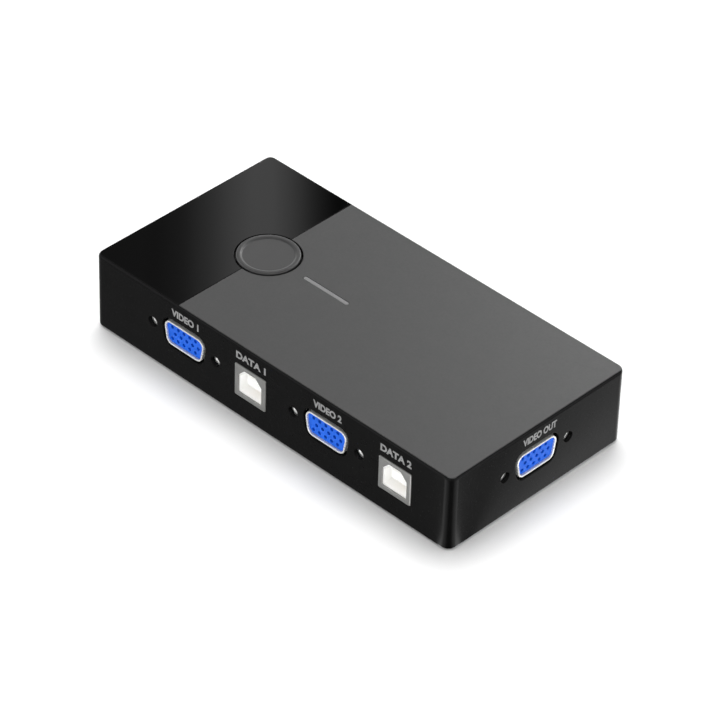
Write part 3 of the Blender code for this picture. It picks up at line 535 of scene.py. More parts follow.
def add_housing():
    """The upper housing: roof and four walls in one moulding, with the edges of the wall openings rounded.
    """
    boss_low = node_box("bottom_cover")[0].z + SCREW_PAD_HEIGHT + GAP
    inside = case_outline(WALL, CORNER_RADIUS - WALL)
    recess = case_outline(RIM, PANEL_CORNER + SEAM)
    button = (BUTTON_X, 0)
    collar = circle(COLLAR_OUTER_RADIUS, 64, button)
    collar_inside = circle(COLLAR_INNER_RADIUS, 64, button)
    hole = circle(BUTTON_HOLE_RADIUS, FINE_STEPS, button)
    steps = [
        ("DIFFERENCE", solid(inside, CASE_BOTTOM - REACH, ROOF_UNDERSIDE, high_edge=0.4)),
        ("DIFFERENCE", solid(recess, CASE_TOP - RECESS_DEPTH, CASE_TOP + REACH)),
        ("UNION", solid(collar, COLLAR_BOTTOM, ROOF_UNDERSIDE + OVERLAP, 0.2)),
        ("DIFFERENCE", solid(collar_inside, COLLAR_BOTTOM - REACH, ROOF_UNDERSIDE)),
        ("DIFFERENCE", solid(hole, COLLAR_BOTTOM, CASE_TOP + REACH)),
        ("DIFFERENCE", solid(bar_outline(0.2), ROOF_UNDERSIDE - REACH, CASE_TOP + REACH)),
    ]
    for at in screw_places():
        steps.append(("UNION", solid(circle(BOSS_RADIUS, 32, at), boss_low, ROOF_UNDERSIDE + OVERLAP)))
        bore = circle(SCREW_BORE_RADIUS, 24, at)
        steps.append(("DIFFERENCE", solid(bore, boss_low - REACH, boss_low + BOSS_BORE_DEPTH)))
    room = CUTOUT_CLEARANCE
    cutout = d_outline(SHELL_WIDTH + 2 * room, SHELL_HEIGHT + 2 * room, SHELL_CORNER + room)
    for place in VIDEO.values():
        steps.append(("DIFFERENCE", opening(cutout, 0, WALL + 1, 0.25), place))
        for side in (-1, 1):
            hole = circle(JACK_HOLE_RADIUS, ROUND_STEPS, (side * JACK_SPACING / 2, 0))
            steps.append(("DIFFERENCE", opening(hole, 0, WALL + 1, 0.15), place))
            pocket = circle(JACK_POCKET_RADIUS, ROUND_STEPS, (side * JACK_SPACING / 2, 0))
            steps.append(("DIFFERENCE", solid(pocket, JACK_POCKET_FLOOR, WALL + 1, along="Y"), place))
    window = box_outline(DATA_IN_WIDTH + 2 * SEAM, DATA_IN_HEIGHT + 2 * SEAM, 0.5, 5)
    for place in DATA_IN.values():
        steps.append(("DIFFERENCE", opening(window, 0, WALL + 1, 0.12), place))
    for name, place in DATA_OUT.items():
        half_w, half_h = DATA_OUT_WIDTH / 2 + 0.3, DATA_OUT_HEIGHT / 2 + 0.3
        below = CASE_BOTTOM - REACH - place.translation.z / MM
        middle = (0, (half_h + below) / 2)
        notch = box_outline(2 * half_w, half_h - below, 0.4, 5, middle)
        steps.append(("DIFFERENCE", opening(notch, 0, WALL + 1, 0.12), place))
    outer = solid(case_outline(0, CORNER_RADIUS), CASE_BOTTOM, CASE_TOP, BOTTOM_EDGE, TOP_EDGE)
    mesh = smooth(carved(outer, *steps))
    add_piece("housing_shell", mesh, LOOKS["case_black"], stands_for=["upper_housing"])


def add_panels():
    """The two roof inlays, with a fine rounded edge all round."""
    outline = case_outline(RIM + SEAM, PANEL_CORNER)
    hole = circle(PANEL_HOLE_RADIUS, FINE_STEPS, (BUTTON_X, 0))
    left, right = PANEL_DIVIDE - SEAM / 2, PANEL_DIVIDE + SEAM / 2
    sides = (
        ("gloss_inlay", "gloss_panel", "gloss_black", left, left + LENGTH),
        ("grey_inlay", "grey_panel", "panel_grey", right - LENGTH, right),
    )
    for name, node_name, slot, start, end in sides:
        beyond = box_outline(end - start, WIDTH + 20, 0.02, 1, ((start + end) / 2, 0))
        steps = [
            ("DIFFERENCE", opening(beyond, CASE_TOP, 2, 0.09, "Z", 1)),
            ("DIFFERENCE", opening(hole, CASE_TOP, 2, 0.12, "Z", 1)),
        ]
        if slot == "panel_grey":
            steps.append(("DIFFERENCE", opening(bar_outline(SEAM), CASE_TOP, 2, 0.08, "Z", 1)))
        mesh = smooth(carved(solid(outline, PANEL_BOTTOM, CASE_TOP, 0, 0.1), *steps))
        add_piece(name, mesh, LOOKS[slot], stands_for=[node_name])


def add_button():
    """The select button: a raised ring round a shallow dish, flange and stem below."""
    top, dish = BUTTON_TOP, BUTTON_TOP - DISH_DEPTH
    low = BUTTON_LOW.z
    flange_top = ROOF_UNDERSIDE - GAP
    flange_low = flange_top - BUTTON_FLANGE_THICKNESS
    wall = BUTTON_RADIUS - BUTTON_WALL
    under = dish - 1.3
    profile = [
        (dish, 0.0),
        *arc(dish + 0.5, DISH_RADIUS - 0.4, 0.5, 180, 150),
        *arc(top - 0.5, DISH_RADIUS + 0.47, 0.5, 330, 360),
        *arc(top - BUTTON_EDGE, BUTTON_RADIUS - BUTTON_EDGE, BUTTON_EDGE, 0, 90),
        *arc(flange_top + 0.2, BUTTON_RADIUS + 0.2, 0.2, 270, 180, 3),
        *arc(flange_top - 0.15, BUTTON_FLANGE_RADIUS - 0.15, 0.15, 0, 90, 3),
        (flange_low, BUTTON_FLANGE_RADIUS),
        (flange_low, wall),
        (under, wall),
        (under, STEM_RADIUS),
        *arc(low + 0.2, STEM_RADIUS - 0.2, 0.2, 90, 180, 3),
        (low, 0.0),
    ]
    mesh = smooth(mesh_of(turned(profile, FINE_STEPS, (BUTTON_X, 0))))
    look = LOOKS["button_grey"]
    add_piece("select_button_cap", mesh, look, "button", stands_for=["select_button"])


def add_light_bar():
    bottom = CASE_TOP - BAR_HEAD_DEPTH
    steps = []
    for x in (BAR_LOW.x + BAR_LEG_INSET, BAR_HIGH.x - BAR_LEG_INSET):
        leg = box_outline(BAR_LEG_WIDTH, BAR_LEG_WIDTH, 0.3, 4, (x, 0))
        steps.append(("UNION", solid(leg, BAR_LOW.z, bottom + 0.5, 0.1)))
    mesh = smooth(carved(solid(bar_outline(0), bottom, CASE_TOP, 0.1, 0.16), *steps))
    look = LOOKS["indicator_frost"]
    add_piece("indicator_bar", mesh, look, stands_for=["light_guide"])


# Video sockets


def video_shell():
    """The pressed D shell with its rolled front edge, in one with its flange."""
    outline = d_outline(SHELL_WIDTH, SHELL_HEIGHT, SHELL_CORNER)
    lip = SHELL_WALL / 2
    tube = loft(
        outline,
        [
            (FLANGE_FRONT + 0.3, 0.0),
            *arc(lip - SHELL_PROUD, -lip, lip, 90, 270, 8),
            (FLANGE_FRONT + FLANGE_THICKNESS, -SHELL_WALL),
            (FLANGE_FRONT + FLANGE_THICKNESS, -SHELL_WALL / 2),
        ],
        "Y",
        ring=True,
    )
    plate = box_outline(FLANGE_WIDTH, FLANGE_HEIGHT, 1.2, 6)
    flange = solid(plate, FLANGE_FRONT, FLANGE_FRONT + FLANGE_THICKNESS, 0.1, 0.0, "Y")
    inside = solid(outline, FLANGE_FRONT - REACH, FLANGE_FRONT + REACH, along="Y")
    holes = []
    for side in (-1, 1):
        hole = circle(FLANGE_HOLE_RADIUS, 32, (side * JACK_SPACING / 2, 0))
        holes.append(("DIFFERENCE", opening(hole, FLANGE_FRONT, 2, 0.1)))
    return smooth(carved(flange, ("DIFFERENCE", inside), *holes, ("UNION", tube)))


def contact_places():
    """The fifteen contacts, in three rows of five with the middle row half a pitch to one side."""
    for row in (-1, 0, 1):
        shift = CONTACT_PITCH / 4 * (1 if row == 0 else -1)
        for column in range(-2, 3):
            yield column * CONTACT_PITCH + shift, row * CONTACT_ROW


def video_insulator():
    """The blue moulding: a face with fifteen countersunk holes, and the body that stands on the board."""
    face = VIDEO_FACE
    clear = SHELL_WALL + SEAM
    outline = d_outline(SHELL_WIDTH - 2 * clear, SHELL_HEIGHT - 2 * clear, SHELL_CORNER - clear)
    back = FLANGE_FRONT + FLANGE_THICKNESS + GAP
    foot = node_box("video_in_1_insulator")[0].z - VIDEO["video_in_1"].translation.z / MM
    plate_x, plate_z, plate_back = 15.2, 6.0, back + 4.4
    block_x, block_top, block_back = 9.6, 4.6, back + 10.4
    steps = [
        ("UNION", box((-plate_x, back, -plate_z), (plate_x, plate_back, plate_z), 0.3)),
        ("UNION", box((-block_x, plate_back - 0.5, foot), (block_x, block_back, block_top), 0.3)),
    ]
    for side in (-1, 1):
        hole = circle(FLANGE_HOLE_RADIUS, 24, (side * JACK_SPACING / 2, 0))
        steps.append(("DIFFERENCE", solid(hole, back - 1, back + 5, along="Y")))
    holes = [opening(circle(CONTACT_HOLE_RADIUS, 16, at), face, 5.0, 0.12) for at in contact_places()]
    steps.append(("DIFFERENCE", merged(*holes)))
    return smooth(carved(solid(outline, face, back + 0.5, 0.18, 0.0, "Y"), *steps))


def video_contacts():
    """Fifteen gold sockets, deep in the holes of the insulator."""
    front, back = VIDEO_FACE + 0.9, VIDEO_FACE + 4.6
    wall = 0.12
    sections = [(back, 0.0), *arc(front, -wall / 2, wall / 2, 90, 270, 4), (back, -wall)]
    tubes = []
    for at in contact_places():
        tubes.append(loft(circle(CONTACT_RADIUS, 16, at), sections, "Y", ring=True))
    return smooth(mesh_of(merged(*tubes)))


def jack_nut():
    """A hexagonal jack nut with a threaded bore and a turned shank."""
    front, back = JACK_POCKET_FLOOR + GAP, FLANGE_FRONT - GAP
    bore, shank_radius, shank_length = 1.05, 1.35, 5.0
    pitch, depth = 0.5, 0.16
    lead_in, lead_in_depth = 0.35, 0.3
    first = front + lead_in_depth
    grooves = [(front - 1, lead_in), (front, lead_in), (first, 0.0)]
    turns = int((back - front) / pitch)
    for turn in range(turns):
        start = first + turn * pitch
        grooves += [(start + pitch / 2, depth), (start + pitch, 0.0)]
    thread = loft(circle(bore, 32), grooves, "Y")
    head = solid(hexagon(JACK_NUT_WIDTH), front, back, 0.25, 0.15, "Y")
    shank = solid(circle(shank_radius, 32), back - 0.3, back + shank_length, 0.0, 0.2, "Y")
    return smooth(carved(head, ("UNION", shank), ("DIFFERENCE", thread)))


def add_video_sockets():
    shell, insulator, contacts, nut = video_shell(), video_insulator(), video_contacts(), jack_nut()
    nickel, blue = LOOKS["nickel"], LOOKS["port_blue"]
    for name, place in VIDEO.items():
        add_piece(f"{name}_d_shell", shell, nickel, place=place, stands_for=[f"{name}_shell"])
        stands_for = [f"{name}_insulator"]
        add_piece(f"{name}_moulding", insulator, blue, place=place, stands_for=stands_for)
        add_piece(f"{name}_contacts", contacts, GOLD, place=place)
        for side, end in ((-1, "left"), (1, "right")):
            at = place @ Matrix.Translation((side * JACK_SPACING / 2 * MM, 0, 0))
            stands_for = [f"{name}_jack_nut_{end}"]
            add_piece(f"{name}_hex_nut_{end}", nut, nickel, place=at, stands_for=stands_for)


# USB sockets


def data_in_shell():
    """The USB-B shell: a folded sheet box with a framed mouth in front, and a tab cut in each side."""
    sheet = DATA_IN_SHEET
    half_w, half_h = DATA_IN_WIDTH / 2, DATA_IN_HEIGHT / 2
    outline = box_outline(DATA_IN_WIDTH, DATA_IN_HEIGHT, 0.5, 6)
    outer = solid(outline, -DATA_IN_PROUD, DATA_IN_DEPTH, 0.35, 0.0, "Y")
    hollow = box(
        (sheet - half_w, sheet - DATA_IN_PROUD, sheet - half_h),
        (half_w - sheet, DATA_IN_DEPTH + REACH, half_h - sheet),
    )
    mouth = opening(usb_b_outline(*DATA_IN_MOUTH, 0.4), -DATA_IN_PROUD, REACH, 0.12)
    steps = [("DIFFERENCE", hollow), ("DIFFERENCE", mouth)]
    start, end, top, slit = 3.0, 9.0, 2.0, 0.15
    for side in (-1, 1):
        tab = side * (half_w - sheet / 2)
        left, right = tab - 0.5, tab + 0.5
        for low, high in ((-top, slit - top), (top - slit, top)):
            steps.append(("DIFFERENCE", box((left, start, low), (right, end, high))))
        steps.append(("DIFFERENCE", box((left, end - slit, -top), (right, end, top))))
    return smooth(carved(outer, *steps))


def data_in_insulator():
    """The white USB-B moulding: the plug's cavity and the contact tongue in its middle."""
    clear = DATA_IN_SHEET + SEAM
    half_w, half_h = DATA_IN_WIDTH / 2 - clear, DATA_IN_HEIGHT / 2 - clear
    front, end, rise = clear - DATA_IN_PROUD, DATA_IN_CAVITY_END, DATA_IN_RISE
    half_x, half_z = DATA_IN_TONGUE_WIDTH / 2, DATA_IN_TONGUE_HEIGHT / 2
    tongue = box((-half_x, 1.6, rise - half_z), (half_x, end + 1, rise + half_z), 0.25)
    steps = [
        ("DIFFERENCE", opening(usb_b_outline(*DATA_IN_CAVITY, 0.4), front, end - front, 0.12)),
        ("UNION", tongue),
    ]
    for x in DATA_IN_CONTACT_X:
        for low, high in ((rise + 1.45, rise + 2.0), (rise - 2.0, rise - 1.45)):
            steps.append(("DIFFERENCE", box((x - 0.45, 2.2, low), (x + 0.45, end - 0.5, high))))
    body = box((-half_w, front, -half_h), (half_w, DATA_IN_DEPTH - GAP, half_h), 0.1, 1)
    return smooth(carved(body, *steps))


def data_in_contacts():
    """Two gold strips on each side of the USB-B tongue, in its grooves."""
    strips = []
    for x in DATA_IN_CONTACT_X:
        for z in (DATA_IN_RISE - 1.52, DATA_IN_RISE + 1.52):
            strips.append(box((x - 0.4, 2.3, z - 0.06), (x + 0.4, 9.3, z + 0.06), 0.04, 2))
    return smooth(mesh_of(merged(*strips)))


def add_data_inputs():
    shell, insulator, contacts = data_in_shell(), data_in_insulator(), data_in_contacts()
    white = LOOKS["port_white"]
    for name, place in DATA_IN.items():
        add_piece(f"{name}_frame", shell, TIN, place=place, stands_for=[f"{name}_shell"])
        stands_for = [f"{name}_insulator"]
        # The moulding's faint glow is painted light in its shaded cavity.
        add_piece(f"{name}_moulding", insulator, white, place=place, stands_for=stands_for)
        add_piece(f"{name}_contacts", contacts, GOLD, place=place)


def data_out_shell():
    """The USB-A shell: a sheet tube with two sprung tongues in its roof and two in its floor."""
    sheet = DATA_OUT_SHEET
    half_h = DATA_OUT_HEIGHT / 2
    outline = box_outline(DATA_OUT_WIDTH, DATA_OUT_HEIGHT, 0.5, 6)
    lip = sheet / 2
    tube = loft(
        outline,
        [
            (DATA_OUT_DEPTH, 0.0),
            *arc(lip - DATA_OUT_PROUD, -lip, lip, 90, 270, 6),
            (DATA_OUT_DEPTH, -sheet),
        ],
        "Y",
        ring=True,
    )
    steps = []
    for x in DATA_OUT_SPRING_X:
        for side in (-1, 1):
            middle = side * (half_h - sheet / 2)
            window = box((x - 1.3, 2.2, middle - 0.4), (x + 1.3, 8.4, middle + 0.4))
            steps.append(("DIFFERENCE", window))
    return smooth(carved(tube, *steps))


def data_out_springs():
    """The four sprung tongues of the USB-A shell, bent inwards towards their tips."""
    width, thickness = 2.0, 0.3
    springs = []
    for x in DATA_OUT_SPRING_X:
        for side in (-1, 1):
            z = side * (DATA_OUT_HEIGHT / 2 - 0.2)
            bends = ((8.6, 0.0), (6.5, 0.25), (4.5, 0.6), (3.4, 0.75), (2.5, 0.35))
            path = [(y, z - side * inwards) for y, inwards in bends]
            springs.append(bent_strip(path, x, width, thickness))
    return smooth(mesh_of(merged(*springs)))


def bent_strip(path, x, width, thickness):
    """A flat strip that follows (y, z) points, at one place along X."""
    shape = bmesh.new()
    rings = []
    for y, z in path:
        ring = []
        for du, dv in ((-1, -1), (1, -1), (1, 1), (-1, 1)):
            ring.append(shape.verts.new((x + du * width / 2, y, z + dv * thickness / 2)))
        rings.append(ring)
    for low, high in zip(rings, rings[1:]):
        for index in range(4):
            after = (index + 1) % 4
            shape.faces.new((low[index], low[after], high[after], high[index]))
    shape.faces.new(rings[0])
    shape.faces.new(rings[-1])
    bmesh.ops.recalc_face_normals(shape, faces=shape.faces[:])
    return shape


def data_out_insulator():
    """The USB-A moulding: the rear block and the contact tongue in the upper half of the opening."""
    block = box((-6.1, 9.6, -2.4), (6.1, DATA_OUT_DEPTH - GAP, 2.4), 0.1, 1)
    tongue = box((-5.6, 0.9, 0.2), (5.6, 10.5, 2.0), 0.2)
    steps = [("UNION", tongue)]
    for x in DATA_OUT_CONTACT_X:
        steps.append(("DIFFERENCE", box((x - 0.6, 1.6, -0.5), (x + 0.6, 9.4, 0.38))))
    return smooth(carved(block, *steps))


def data_out_contacts():
    """Four gold strips under the USB-A tongue, in its grooves."""
    strips = [box((x - 0.5, 1.9, 0.2), (x + 0.5, 9.4, 0.34), 0.05, 2) for x in DATA_OUT_CONTACT_X]
    return smooth(mesh_of(merged(*strips)))


def add_data_outputs():
    shell, springs = data_out_shell(), data_out_springs()
    insulator, contacts = data_out_insulator(), data_out_contacts()
    nickel, black = LOOKS["nickel"], LOOKS["port_black"]
    for name, place in DATA_OUT.items():
        add_piece(f"{name}_tube", shell, nickel, place=place, stands_for=[f"{name}_shell"])
        add_piece(f"{name}_springs", springs, nickel, place=place)
        stands_for = [f"{name}_insulator"]
        add_piece(f"{name}_moulding", insulator, black, place=place, stands_for=stands_for)
        add_piece(f"{name}_contacts", contacts, GOLD, place=place)


# Underside


def screw_places():
    boxes = [node_box(f"case_screw_{number}") for number in (1, 2, 3, 4)]
    return [((low.x + high.x) / 2, (low.y + high.y) / 2) for low, high in boxes]


def add_cover():
    """The bottom cover: counterbores for the screws, seats for the feet, standoffs and rear tabs."""
    low, high = node_box("bottom_cover")
    inset = WALL + COVER_CLEARANCE
    top = low.z + COVER_THICKNESS
    board_bottom = node_box("circuit_board")[0].z
    steps = []
    for place in DATA_OUT.values():
        x, y = place.translation.x / MM, CASE_HIGH.y
        half_w = DATA_OUT_WIDTH / 2 + COVER_CLEARANCE
        steps.append(("UNION", box((x - half_w, y - WALL, low.z), (x + half_w, y, high.z), 0.1)))
        steps.append(("UNION", box((x - half_w, y - WALL - 1, low.z), (x + half_w, y - 0.5, top))))
    for at in screw_places():
        seat_depth = 0.2 + SCREW_HEAD_HEIGHT + GAP
        pad = circle(SCREW_PAD_RADIUS, ROUND_STEPS, at)
        steps.append(("UNION", solid(pad, top - OVERLAP, low.z + SCREW_PAD_HEIGHT, 0, 0.2)))
        bore = circle(SCREW_BORE_RADIUS, 32, at)
        steps.append(("DIFFERENCE", solid(bore, low.z - REACH, low.z + REACH)))
        mouth = circle(SCREW_HEAD_RADIUS + GAP, ROUND_STEPS, at)
        steps.append(("DIFFERENCE", opening(mouth, low.z, seat_depth, 0.15, "Z")))
    for x in STANDOFF_X:
        for y in STANDOFF_Y:
            standoff = circle(STANDOFF_RADIUS, 32, (x, y))
            steps.append(("UNION", solid(standoff, top - OVERLAP, board_bottom - GAP, 0, 0.15)))
            bore = circle(SCREW_BORE_RADIUS, 24, (x, y))
            steps.append(("DIFFERENCE", solid(bore, low.z + 0.8, board_bottom)))
    for number in (1, 2, 3, 4):
        foot_low, foot_high = node_box(f"rubber_foot_{number}")
        middle = (foot_low + foot_high) / 2
        seat = circle((foot_high.x - foot_low.x) / 2 + 0.2, ROUND_STEPS, (middle.x, middle.y))
        steps.append(("DIFFERENCE", opening(seat, low.z, foot_high.z + GAP - low.z, 0.12, "Z")))
    outline = box_outline(LENGTH - 2 * inset, WIDTH - 2 * inset, 0.8, 6)
    mesh = smooth(carved(solid(outline, low.z, top, 0.2, 0.1), *steps))
    add_piece("base_cover", mesh, LOOKS["case_black"], stands_for=["bottom_cover"])


def add_feet():
    for number in (1, 2, 3, 4):
        low, high = node_box(f"rubber_foot_{number}")
        middle = (low + high) / 2
        radius = (high.x - low.x) / 2
        profile = [
            (low.z, 0.0),
            (low.z, radius - 1.2),
            *arc(low.z + 0.3, radius - 0.3, 0.3, 180, 90),
            (high.z, radius),
            (high.z, 0.0),
        ]
        mesh = smooth(mesh_of(turned(profile, 64, (middle.x, middle.y))))
        stands_for = [f"rubber_foot_{number}"]
        add_piece(f"soft_foot_{number}", mesh, LOOKS["foot_rubber"], stands_for=stands_for)


def screw_mesh(length):
    """A pan-head screw with a cross recess and a rolled thread, its head's face at the origin."""
    radius, root, pitch = 1.1, 0.85, 0.8
    profile = [(0.0, 0.0), (0.0, SCREW_HEAD_RADIUS - 0.9)]
    profile += arc(0.9, SCREW_HEAD_RADIUS - 0.9, 0.9, 180, 90)
    profile += [(SCREW_HEAD_HEIGHT, SCREW_HEAD_RADIUS), (SCREW_HEAD_HEIGHT, root)]
    level = SCREW_HEAD_HEIGHT + 0.4
    while level + pitch < length - 0.8:
        turn = ((0.0, root), (0.4, radius), (0.5, radius), (0.9, root))
        profile += [(level + pitch * part, reach) for part, reach in turn]
        level += pitch
    profile += [(length - 0.8, root), (length, 0.3), (length, 0.0)]
    cross = [
        ("DIFFERENCE", box((-long, -short, -REACH), (long, short, SCREW_RECESS_DEPTH), 0.05, 1))
        for long, short in ((1.4, 0.3), (0.3, 1.4))
    ]
    return smooth(carved(turned(profile, 40), *cross))


def add_screws():
    low, high = node_box("case_screw_1")
    mesh = screw_mesh(high.z - low.z)
    look = LOOKS["steel"]
    for number, (x, y) in enumerate(screw_places(), 1):
        place = Matrix.Translation((x * MM, y * MM, low.z * MM))
        stands_for = [f"case_screw_{number}"]
        add_piece(f"cover_screw_{number}", mesh, look, place=place, stands_for=stands_for)


# Labels, in plain generic words


def add_label(name, text, place, width, level, shift, height=LABEL_HEIGHT):
    """A line of raised ink over a socket and a little to its right, fitted to a width and a height."""
    curve = bpy.data.curves.new(name, "FONT")
    curve.body = text
    curve.align_x = "CENTER"
    curve.align_y = "CENTER"
    curve.extrude = 0.5
    curve.offset = LABEL_WEIGHT
    writing = new_object(name, curve)
    bpy.context.view_layer.update()
    graph = bpy.context.evaluated_depsgraph_get()
    mesh = bpy.data.meshes.new_from_object(writing.evaluated_get(graph), depsgraph=graph)
    bpy.data.objects.remove(writing, do_unlink=True)
    xs, ys = [v.co.x for v in mesh.vertices], [v.co.y for v in mesh.vertices]
    centre = Matrix.Translation((-(min(xs) + max(xs)) / 2, -(min(ys) + max(ys)) / 2, 0))
    across, up = width * MM / (max(xs) - min(xs)), height * MM / (max(ys) - min(ys))
    size = Matrix.Diagonal((across, up, INK_DEPTH * MM, 1))
    upright = Matrix.Rotation(math.pi / 2, 4, "X")
    mesh.transform(upright @ size @ centre)
    z = level * MM - place.translation.z
    place = place @ Matrix.Translation((shift * MM, INK_SHIFT * MM, z))
    add_piece(name, mesh, INK, place=place)


def add_labels():
    """A label over each socket of the front and the right end."""
    for number in (1, 2):
        video, data = VIDEO[f"video_in_{number}"], DATA_IN[f"data_in_{number}"]
        add_label(f"label_video_{number}", f"VIDEO {number}", video, width=10.7, level=21.7, shift=0.45)
        add_label(f"label_data_{number}", f"DATA {number}", data, width=11.45, level=21.5, shift=0.18)
    add_label("label_video_out", "VIDEO OUT", VIDEO["video_out"], width=13.2, level=21.7, shift=0.7)


# CAD nodes that stay as they are, with their materials


def finish_cad_nodes():
    kept = {
        "circuit_board": "board_green",
        "switch_base": "switch_black",
        "switch_lid": "steel",
        "switch_plunger": "switch_black",
        "controller_chip": "chip_black",
        "video_switch_chip": "chip_black",
        "clock_crystal": "can_aluminium",
        "supply_capacitor_1": "can_aluminium",
        "supply_capacitor_2": "can_aluminium",
        "indicator_led_1": "led_lens",
        "indicator_led_2": "led_lens",
        **{f"board_screw_{number}": "steel" for number in (1, 2, 3, 4)},
    }
    for name, slot in kept.items():
        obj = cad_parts[name]
        obj.data.materials.clear()
        obj.data.materials.append(LOOKS[slot])


# Stage

CAMERA_PLACE = Vector((0.6120, -0.6486, 0.7118))
CAMERA_AZIMUTH = math.atan2(0.5716, -0.5377)
CAMERA_DIP = math.asin(0.6199)
CAMERA_ROLL = math.radians(1.89)
CAMERA_LENS = 204.3

FLOOR_TONE = "f4f4f4"
DOME = 0.93
KEY = 6.7
KEY_DIRECTION = Vector((-0.25, 0.27, 0.93)).normalized()
KEY_EDGE, KEY_CORE = 0.93, 0.985  # cosines of the angles at which the light starts and is full
# What shines on the roof: (millimetres to the right of the camera's axis, brightness)
ROOF_BAND = (
    (-90, 0.07), (-77, 0.08), (-68, 0.085), (-58, 0.19), (-48, 0.46), (-38, 0.76), (-33, 0.79), (-28, 0.73),
    (-18, 0.31), (-8.5, 0.04), (0, 0.1), (14, 0.4), (49, 1.0), (92, 2.8), (132, 4.4), (156, 0.2),
)
# A painted reflection: what the walls reflect of the floor is a glow, bright in places to paint highlight
# stripes on the near corner and a lighter right end: (degrees round the near corner, brightness)
FLOOR_GLOW_IN_REFLECTIONS = (
    (-150, 0.6), (-128, 0.65), (-110, 5.0), (-80, 2.4), (-55, 0.0), (-30, 0.0), (0, 3.0), (30, 4.0),
    (45, 0.8), (60, 0.6), (74, 1.5), (85, 2.4), (112, 0.8),
)
FLOOR_REACH = 2500
CARD_AWAY = 0.3
CARD_HALF_WIDTH = 250
CARD_SHAPE = 0.36
# What reflections see of the world: (height as the sine of the elevation, brightness)
WORLD_IN_REFLECTIONS = ((0.0, 1.0), (0.3, 1.0), (0.58, 1.0), (0.68, 0.1), (1.0, 0.05))


def camera_axes():
    """The camera's forward, right and up directions."""
    flat = math.cos(CAMERA_DIP)
    x, y = math.cos(CAMERA_AZIMUTH), math.sin(CAMERA_AZIMUTH)
    forward = Vector((flat * x, flat * y, -math.sin(CAMERA_DIP)))
    level = forward.cross(Vector((0, 0, 1))).normalized()
    right = Matrix.Rotation(-CAMERA_ROLL, 3, forward) @ level
    return forward, right, right.cross(forward)


def aimed(place, forward, right, up):
    """The matrix that puts an object at a place, looking forward."""
    return Matrix.Translation(place) @ Matrix((right, up, -forward)).transposed().to_4x4()


def add_camera():
    forward, right, up = camera_axes()
    data = bpy.data.cameras.new("camera")
    data.sensor_width = 36
    data.lens = CAMERA_LENS
    data.clip_start = 0.01
    camera = bpy.data.objects.new("camera", data)
    camera.matrix_world = aimed(CAMERA_PLACE, forward, right, up)
    bpy.context.scene.collection.objects.link(camera)
    bpy.context.scene.camera = camera


def ramp(tree, fac, stops, interpolation="LINEAR"):
    """A grey ramp through (position, brightness) stops, with brightness given relative to its highest."""
    made = node(tree, "ShaderNodeValToRGB", {"Fac": fac})
    made.color_ramp.interpolation = interpolation
    while len(made.color_ramp.elements) < len(stops):
        made.color_ramp.elements.new(0.5)
    for element, (position, tone) in zip(made.color_ramp.elements, stops):
        element.position = position
        element.color = (tone, tone, tone, 1)
    return made.outputs["Color"]


def output(tree, kind, glossy_look, other_look):
    """A surface that looks different in reflections."""
    glossy = node(tree, "ShaderNodeLightPath").outputs["Is Glossy Ray"]
    mix = node(tree, "ShaderNodeMixShader", {0: glossy, 1: other_look, 2: glossy_look}).outputs[0]
    node(tree, kind, {"Surface": mix})


def add_floor():
    """A plain pale floor. In reflections it is a glow instead, brighter to the right of the case than in
    front of it: a painted reflection.
    """
    look = bpy.data.materials.new("floor")
    look.use_nodes = True
    tree = look.node_tree
    tree.nodes.clear()
    pale = node(tree, "ShaderNodeBsdfDiffuse", {"Color": linear(FLOOR_TONE)}).outputs[0]
    corner = Vector((CASE_HIGH.x - CORNER_RADIUS, CASE_LOW.y + CORNER_RADIUS, 0)) * MM
    place = node(tree, "ShaderNodeTexCoord").outputs["Object"]
    place = node(tree, "ShaderNodeMapping", {"Vector": place, "Location": -corner}).outputs["Vector"]
    turn = node(tree, "ShaderNodeTexGradient", {"Vector": place}, gradient_type="RADIAL").outputs["Fac"]
    peak = max(tone for degrees, tone in FLOOR_GLOW_IN_REFLECTIONS)
    stops = [(0.5 + degrees / 360, tone / peak) for degrees, tone in FLOOR_GLOW_IN_REFLECTIONS]
    tone = ramp(tree, turn, stops, "EASE")
    # The floor's glow in reflections: painted reflection, not lamp light.
    painted_reflection = node(tree, "ShaderNodeEmission", {"Color": tone, "Strength": peak}).outputs[0]
    output(tree, "ShaderNodeOutputMaterial", painted_reflection, pale)
    shape = bmesh.new()
    bmesh.ops.create_grid(shape, x_segments=1, y_segments=1, size=FLOOR_REACH)
    mesh = mesh_of(shape, "floor")
    mesh.materials.append(look)
    new_object("floor", mesh)


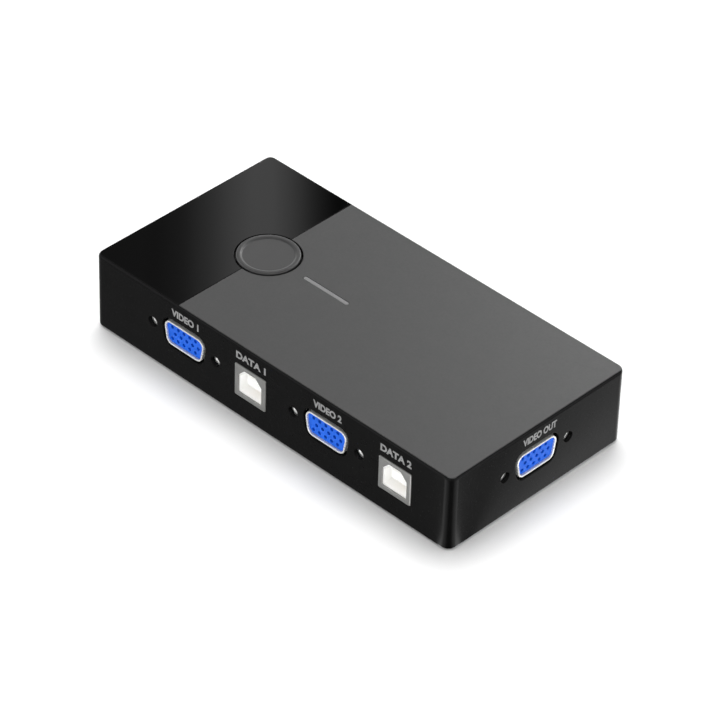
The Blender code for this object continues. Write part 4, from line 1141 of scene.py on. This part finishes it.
def add_card():
    """A wide soft card over the far side, seen in reflections only."""
    forward, right, up = camera_axes()
    flip = Matrix.Diagonal((1, 1, -1))
    forward, right, up = flip @ forward, flip @ right, flip @ up
    look = bpy.data.materials.new("card")
    look.use_nodes = True
    tree = look.node_tree
    tree.nodes.clear()
    across = node(tree, "ShaderNodeTexCoord").outputs["Object"]
    across = node(tree, "ShaderNodeSeparateXYZ", {"Vector": across}).outputs["X"]
    half = CARD_HALF_WIDTH * MM
    limits = {"Value": across, "From Min": -half, "From Max": half, "To Min": 0.0, "To Max": 1.0}
    across = node(tree, "ShaderNodeMapRange", limits).outputs["Result"]
    peak = max(tone for offset, tone in ROOF_BAND)
    stops = [(0.5 + offset / 2 / CARD_HALF_WIDTH, tone / peak) for offset, tone in ROOF_BAND]
    tone = ramp(tree, across, stops, "CARDINAL")
    glow = node(tree, "ShaderNodeEmission", {"Color": tone, "Strength": peak}).outputs[0]
    node(tree, "ShaderNodeOutputMaterial", {"Surface": glow})
    shape = bmesh.new()
    wide = Matrix.Diagonal((1, CARD_SHAPE, 1, 1))
    bmesh.ops.create_grid(shape, x_segments=1, y_segments=1, size=CARD_HALF_WIDTH, matrix=wide)
    mesh = mesh_of(shape, "card")
    mesh.materials.append(look)
    centre = Vector((0, 0, CASE_TOP * MM)) + CARD_AWAY * forward
    card = new_object("card", mesh, aimed(centre, forward, right, up))
    card.visible_camera = False
    card.visible_diffuse = False
    card.visible_shadow = False


def add_world():
    """A white dome and a soft light high behind the far corner. Reflections see a dark ceiling."""
    world = bpy.data.worlds.new("studio")
    world.use_nodes = True
    bpy.context.scene.world = world
    tree = world.node_tree
    tree.nodes.clear()
    place = node(tree, "ShaderNodeTexCoord").outputs["Generated"]
    height = node(tree, "ShaderNodeSeparateXYZ", {"Vector": place}).outputs["Z"]
    towards = node(tree, "ShaderNodeVectorMath", {0: place, 1: KEY_DIRECTION}, operation="DOT_PRODUCT")
    towards = towards.outputs["Value"]
    limits = {"Value": towards, "From Min": KEY_EDGE, "From Max": KEY_CORE}
    limits |= {"To Min": DOME, "To Max": DOME + KEY}
    strength = node(tree, "ShaderNodeMapRange", limits, interpolation_type="SMOOTHSTEP").outputs["Result"]
    soft = node(tree, "ShaderNodeBackground", {"Color": (1, 1, 1, 1), "Strength": strength}).outputs[0]
    tone = ramp(tree, height, WORLD_IN_REFLECTIONS)
    shiny = node(tree, "ShaderNodeBackground", {"Color": tone}).outputs[0]
    output(tree, "ShaderNodeOutputWorld", shiny, soft)


def add_stage():
    bpy.context.scene.view_settings.view_transform = "Standard"
    add_camera()
    add_floor()
    add_card()
    add_world()


def main():
    add_stage()
    add_housing()
    add_panels()
    add_button()
    add_light_bar()
    add_video_sockets()
    add_data_inputs()
    add_data_outputs()
    add_cover()
    add_feet()
    add_screws()
    add_labels()
    finish_cad_nodes()


main()
